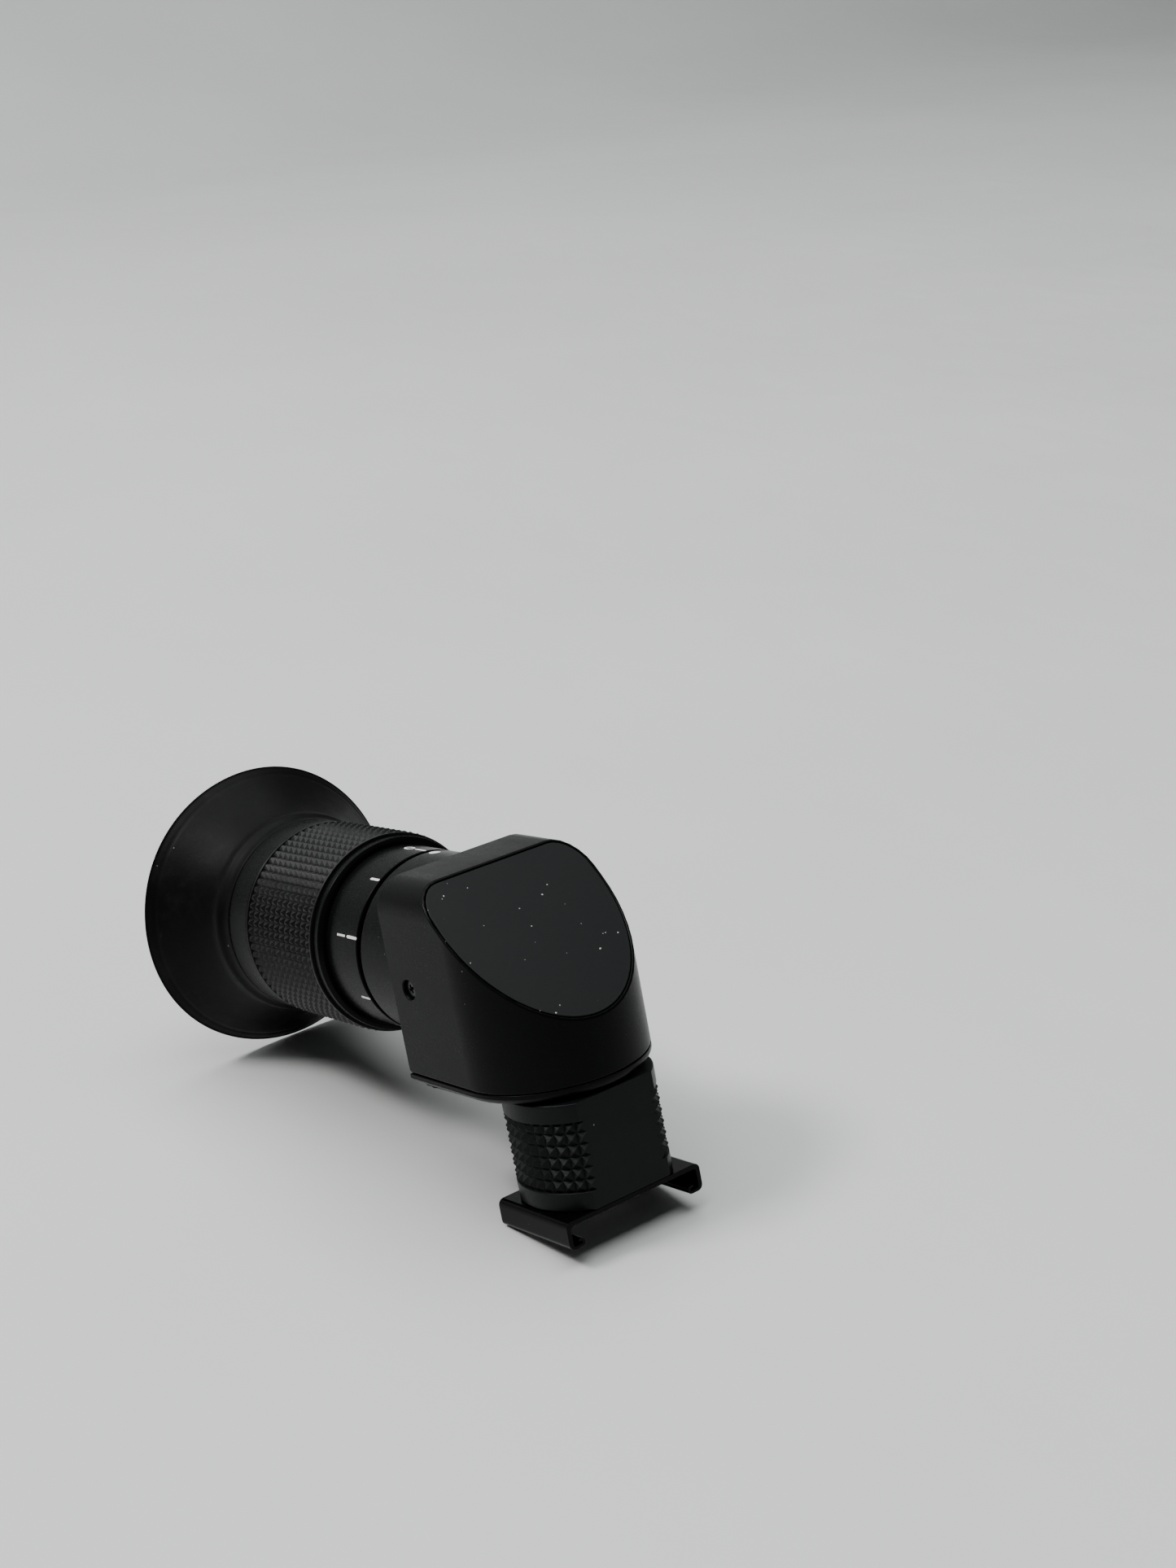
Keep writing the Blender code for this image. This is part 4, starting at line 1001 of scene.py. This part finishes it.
# %% [markdown]
# ## Cast and cut pieces
#
# The housing, its base and its cover already have the right shape as solids; what they lack is
# the small radius that every real edge has. Such a piece starts as a copy of its solid: the
# loose triangles are merged and melted back into whole faces, a Bevel modifier rounds the edges
# sharper than its angle, and weighted normals keep the flat faces flat. Two pieces have one rim
# that is rounder than the rest, so there each edge carries a weight that scales the rounding.
# The copy then stands for the solid, which stays in the simulation.

# %% Eased copies of the solids
BROAD_EASE = 0.8


def eased_copy(name, node, finish, body, width, broad=None, segments=3):
    """A copy of a CAD solid with rounded edges; broad picks, by an edge's middle, the widest."""
    bm = bmesh.new()
    bm.from_mesh(frame["nodes"][node].data)
    bmesh.ops.remove_doubles(bm, verts=bm.verts, dist=2e-6)
    bmesh.ops.dissolve_limit(bm, angle_limit=math.radians(0.8), verts=bm.verts, edges=bm.edges,
                             use_dissolve_boundaries=False)
    bmesh.ops.recalc_face_normals(bm, faces=bm.faces)
    if broad:
        weight = bm.edges.layers.float.new("bevel_weight_edge")
        for edge in bm.edges:
            if len(edge.link_faces) == 2 and edge.calc_face_angle(0) > math.radians(32):
                middle = FROM_PLACE @ ((edge.verts[0].co + edge.verts[1].co) / 2) / MM
                edge[weight] = 1.0 if broad(middle) else width / BROAD_EASE
    made = helper_of(name, bm, finish, 180)
    ease = made.modifiers.new("ease", "BEVEL")
    ease.width = (BROAD_EASE if broad else width) * MM
    ease.segments = segments
    ease.limit_method = "WEIGHT" if broad else "ANGLE"
    ease.angle_limit = math.radians(32)
    ease.use_clamp_overlap = False
    ease.miter_outer = "MITER_ARC"
    weigh = made.modifiers.new("weigh", "WEIGHTED_NORMAL")
    weigh.keep_sharp = True
    weigh.weight = 60
    settled(made)
    return keep(made, body, [node], place=False)


def back_rim(middle):
    return middle.y > back_of("prism_housing") - 0.1 and middle.xz.length > BARREL + 0.3


SEAM = back_of("base_plate", 2)


def foot_rim(middle):
    return middle.z < SEAM - 1.0 and middle.xy.length > 11.0


eased_copy("housing_casting", "prism_housing", satin_black, "housing", 0.22,
           back_rim)
eased_copy("matt_cover", "cover_plate", plate_black, "housing", 0.10)
eased_copy("base_with_neck", "base_plate", satin_black, "housing", 0.12,
           foot_rim)

# %% [markdown]
# ### Screws with a cross recess
#
# Each screw is spun as a head with a soft dome or a countersunk cone and a short shank, then a
# tapered cross is cut into it. A screw is drawn afresh for each place rather than copied, since
# there are only four of each and they lie on different bodies; each group is joined into one
# piece.

# %% Screws


def cross_cutter(size, deep, width):
    shapes = []
    for turned_by in (0, math.pi / 2):
        bm = bmesh.new()
        bmesh.ops.create_cube(bm, size=1.0)
        for vert in bm.verts:
            share = 1.0 if vert.co.z > 0 else 0.45
            vert.co = Vector((vert.co.x * size * share, vert.co.y * width, vert.co.z * deep * 2))
        bmesh.ops.rotate(bm, verts=bm.verts, matrix=Matrix.Rotation(turned_by, 3, "Z"))
        shapes.append(bm)
    whole = []
    for bm in shapes:
        bmesh.ops.scale(bm, verts=bm.verts, vec=(MM, MM, MM))
        whole.append(helper_of("cross_tool", bm))
    return whole


def screw(name, head, dome, sink, shank, long, cross, spin=0.4):
    """A screw along Z with the top of its head at the origin."""
    corners = [(0, dome), (head * 0.55, dome * 0.75), (head * 0.9, dome * 0.2)]
    outline = [(0.0, dome, 0)] + [(r, z, 0) for r, z in corners[1:]]
    outline += [(head, -0.06, 0), (head if not sink else shank, -sink or -0.5, 0),
                (shank, -(sink or 0.5) - 0.01, 0), (shank, -long, 0.1), (0.0, -long, 0)]
    made = helper_of(name, spun(eased(outline), "Z", 32), dark_steel, 30)
    tools = cross_cutter(cross, head * 0.42, cross * 0.26)
    cut(made, tools)
    made.data.transform(Matrix.Rotation(spin, 4, "Z"))
    return made


def screws_of(name, nodes, axis, side, body, slot, **sizes):
    """One screw for each named solid, all in one piece, facing along the axis."""
    whole = bmesh.new()
    for number_of, node in enumerate(nodes):
        one = screw("one_screw", spin=0.4 + 0.5 * number_of, **sizes)
        low, high = local_box(node)
        middle = (low + high) / 2
        middle[axis] = high[axis] if side > 0 else low[axis]
        facing = Vector((0, 0, 0))
        facing[axis] = side
        one.data.transform(Matrix.Translation(middle)
                           @ facing.to_track_quat("Z", "Y").to_matrix().to_4x4())
        whole.from_mesh(one.data)
        remove(one)
    return keep(helper_of(name, whole, dark_steel, 30), body, nodes)


screws_of("left_side_screw", ["side_screw_left"], 0, -1, "housing", "black_metal", head=1.22,
          dome=0.0, sink=0, shank=0.7, long=3.0, cross=1.75)
screws_of("right_side_screw", ["side_screw_right"], 0, 1, "housing", "black_metal", head=1.22,
          dome=0.0, sink=0, shank=0.7, long=3.0, cross=1.75)
screws_of("shoe_screws", [f"shoe_screw_{n}" for n in range(1, 5)], 2, -1, "shoe", "dark_steel",
          head=1.0, dome=0.0, sink=0.55, shank=0.55, long=2.4, cross=1.3)
screws_of("base_screws", [f"base_screw_{n}" for n in range(1, 5)], 2, -1, "housing",
          "dark_steel", head=1.0, dome=0.0, sink=0.55, shank=0.55, long=2.4, cross=1.3)

# %% [markdown]
# ### The grip sleeve
#
# The sleeve under the housing is gripped to turn the finder on its shoe. It is round at both
# sides, where coarse pyramids are cut, and flat in front and behind. It is spun with a shallow
# channel between two plain bands, the pyramids are stood in the channel by the same node tree
# as the grip's studs, and the two flats are then sliced off, pyramids and all.

# %% Grip sleeve
SLEEVE_LOW, SLEEVE_HIGH = front_of("grip_sleeve", 2), back_of("grip_sleeve", 2)
SLEEVE_FLAT = back_of("grip_sleeve", 1)
SLEEVE = reach_of("grip_sleeve")
SLEEVE_BORE, POCKET = 7.24, 8.10
POCKET_TOP = SLEEVE_LOW + 4.0
BAND = 2.65
PYRAMID_TALL = 0.62
PYRAMID_ROWS, PYRAMID_COLUMNS = 6, 13
PYRAMID_SPREAD = math.radians(58)
channel = SLEEVE - PYRAMID_TALL + 0.04
span = SLEEVE_HIGH - SLEEVE_LOW - 2 * BAND


def sliced(made, flats):
    """Cuts away everything beyond each flat, given as (direction, distance)."""
    bm = bmesh.new()
    bm.from_mesh(made.data)
    for way, distance in flats:
        geom = bm.verts[:] + bm.edges[:] + bm.faces[:]
        bmesh.ops.bisect_plane(bm, geom=geom, plane_co=Vector(way) * distance * MM,
                               plane_no=way, clear_outer=True, dist=1e-8)
        rim_edges = [edge for edge in bm.edges if edge.is_boundary]
        bmesh.ops.holes_fill(bm, edges=rim_edges, sides=0)
    bmesh.ops.recalc_face_normals(bm, faces=bm.faces)
    bm.to_mesh(made.data)
    bm.free()
    return made


sleeve = helper_of("grip_sleeve_round", spun(eased([
    (SLEEVE_BORE, SLEEVE_HIGH, 0.1), (SLEEVE_BORE, POCKET_TOP, 0), (POCKET, POCKET_TOP, 0),
    (POCKET, SLEEVE_LOW, 0), (SLEEVE, SLEEVE_LOW, 0.2), (SLEEVE, SLEEVE_LOW + BAND, 0.12),
    (channel, SLEEVE_LOW + BAND + 0.12, 0), (channel, SLEEVE_HIGH - BAND - 0.12, 0),
    (SLEEVE, SLEEVE_HIGH - BAND, 0.12), (SLEEVE, SLEEVE_HIGH, 0.22)]), "Z"), sleeve_black)
tools = []
for side in (-1, 1):
    bm = bmesh.new()
    bmesh.ops.create_cube(bm, size=1.0)
    for vert in bm.verts:
        vert.co = Vector((vert.co.x * 30, side * (SLEEVE_FLAT + 5) + vert.co.y * 10,
                          SLEEVE_LOW + 8 + vert.co.z * 30)) * MM
    tools.append(helper_of("flat_tool", bm))
cut(sleeve, tools)
ease = sleeve.modifiers.new("ease", "BEVEL")
ease.width = 0.08 * MM
ease.segments = 2
ease.limit_method = "ANGLE"
ease.angle_limit = math.radians(38)
ease.use_clamp_overlap = True
weigh = sleeve.modifiers.new("weigh", "WEIGHTED_NORMAL")
weigh.keep_sharp = True
settled(sleeve)
keep(sleeve, "shoe", ["grip_sleeve"])

one_pyramid = stud("pyramid", channel * 2 * PYRAMID_SPREAD / PYRAMID_COLUMNS,
                   span / PYRAMID_ROWS, PYRAMID_TALL, 0.07)
for side, start in (("right", 0.0), ("left", math.pi)):
    step = 2 * PYRAMID_SPREAD / PYRAMID_COLUMNS
    pyramids = studded(f"sleeve_pyramids_{side}", {
        "Stud": one_pyramid, "Columns": PYRAMID_COLUMNS, "Rows": PYRAMID_ROWS,
        "First Angle": start - PYRAMID_SPREAD + step / 2, "Angle Step": step,
        "First Height": (SLEEVE_LOW + BAND + span / PYRAMID_ROWS / 2) * MM,
        "Height Step": span / PYRAMID_ROWS * MM, "Radius": channel * MM}, sleeve_black)
    sliced(pyramids, [((0, 1, 0), SLEEVE_FLAT - 0.02), ((0, -1, 0), SLEEVE_FLAT - 0.02)])
    pyramids.data.shade_flat()
    keep(pyramids, "shoe", ())
remove(one_pyramid)

# %% [markdown]
# ### The shoe
#
# The shoe is one strip of sheet, bent down at both sides and curled inwards into two hems that
# hook behind a camera's eyepiece frame. The strip's outline is drawn once as it is seen from
# the end, with every bend an arc and the slot inside each hem left open, and pushed along its
# length. The window and the screw holes are then cut, and only the end edges are eased, for
# that is where the black wears off first.

# %% Shoe
SHOE = reach_of("shoe_bracket")
SHOE_LOW, SHOE_TOP = front_of("shoe_bracket", 2), back_of("shoe_bracket", 2)
SHEET = 0.7
LIP_TIP = SHOE - 2.6
HEM_TALL = 1.24
LAYER = 0.40
BEND = 0.9
WINDOW = 6.2
HEAD_HOLE, SHANK_HOLE = 1.05, 0.6


def arc_points(centre, radius, start, end, steps=6):
    return [(centre[0] + radius * math.cos(math.radians(start + (end - start) * n / steps)),
             centre[1] + radius * math.sin(math.radians(start + (end - start) * n / steps)))
            for n in range(steps + 1)]


def shoe_half():
    hem = HEM_TALL / 2
    inner = BEND - SHEET * 0.6
    eye = (LIP_TIP + hem, SHOE_LOW + hem)
    points = arc_points((SHOE - BEND, SHOE_TOP - BEND), BEND, 90, 0)
    points += arc_points((SHOE - BEND, SHOE_LOW + BEND), BEND, 0, -90)
    points += arc_points(eye, hem, 270, 90, 10)
    points += arc_points((SHOE - 1.75, SHOE_LOW + HEM_TALL - LAYER / 2), LAYER / 2, 90, -90, 5)
    points += arc_points(eye, hem - LAYER, 90, 270, 8)
    points += arc_points((SHOE - SHEET - 0.35, SHOE_LOW + LAYER + 0.35), 0.35, -90, 0, 5)
    points += arc_points((SHOE - SHEET - inner, SHOE_TOP - SHEET - inner), inner, 0, 90, 5)
    return points


right = shoe_half()
outline = right + [(-x, z) for x, z in reversed(right)]
bm = bmesh.new()
front, back = front_of("shoe_bracket", 1), back_of("shoe_bracket", 1)
face = bm.faces.new([bm.verts.new((x * MM, front * MM, z * MM)) for x, z in outline])
grown = bmesh.ops.extrude_face_region(bm, geom=[face])
moved = [item for item in grown["geom"] if isinstance(item, bmesh.types.BMVert)]
bmesh.ops.translate(bm, verts=moved, vec=(0, (back - front) * MM, 0))
bmesh.ops.recalc_face_normals(bm, faces=bm.faces)
shoe = helper_of("shoe_sheet", bm, gloss_black, 40)
tools = [helper_of("window_tool", spun([
    (0.0, SHOE_LOW), (WINDOW, SHOE_LOW), (WINDOW, SHOE_TOP + 1), (0.0, SHOE_TOP + 1)], "Z", 64))]
for number_of in range(1, 5):
    low, high = local_box(f"shoe_screw_{number_of}")
    hole = spun([(0.0, SHOE_LOW), (HEAD_HOLE, SHOE_LOW), (HEAD_HOLE, SHOE_TOP - SHEET),
                 (SHANK_HOLE, SHOE_TOP), (SHANK_HOLE, SHOE_TOP + 1), (0.0, SHOE_TOP + 1)],
                "Z", 24)
    middle = (low + high) / 2
    bmesh.ops.translate(hole, verts=hole.verts, vec=(middle.x, middle.y, 0))
    tools.append(helper_of("hole_tool", hole))
cut(shoe, tools)
ease = shoe.modifiers.new("ease", "BEVEL")
ease.width = 0.06 * MM
ease.segments = 2
ease.limit_method = "ANGLE"
ease.angle_limit = math.radians(50)
weigh = shoe.modifiers.new("weigh", "WEIGHTED_NORMAL")
weigh.keep_sharp = True
settled(shoe)
keep(shoe, "shoe", ["shoe_bracket"])

# %% [markdown]
# ## Pieces that keep their solids
#
# Everything inside that is barely seen keeps the solid's own shape and only takes a finish:
# brass for the threaded rings, spring steel, glass for the prism and inner lenses, and
# light-trapping black for the frame and spacers.

# %% Finishes on the solids
kept = {
    "swivel_ring": brass, "barrel_nut": brass, "focus_stop_ring": brass,
    "spring_washer": bright_steel, "drive_pin": bright_steel,
    "roof_prism": prism_glass, "field_lens": clear_glass, "collecting_lens": clear_glass,
    "prism_frame": inner_black, "field_mask": inner_black, "field_lens_retainer": inner_black,
    "lens_spacer": inner_black,
}
for node, finish in kept.items():
    thing = frame["nodes"][node]
    for index in range(len(thing.material_slots)):
        thing.material_slots[index].material = finish
print("solids with a finish:", len(kept))
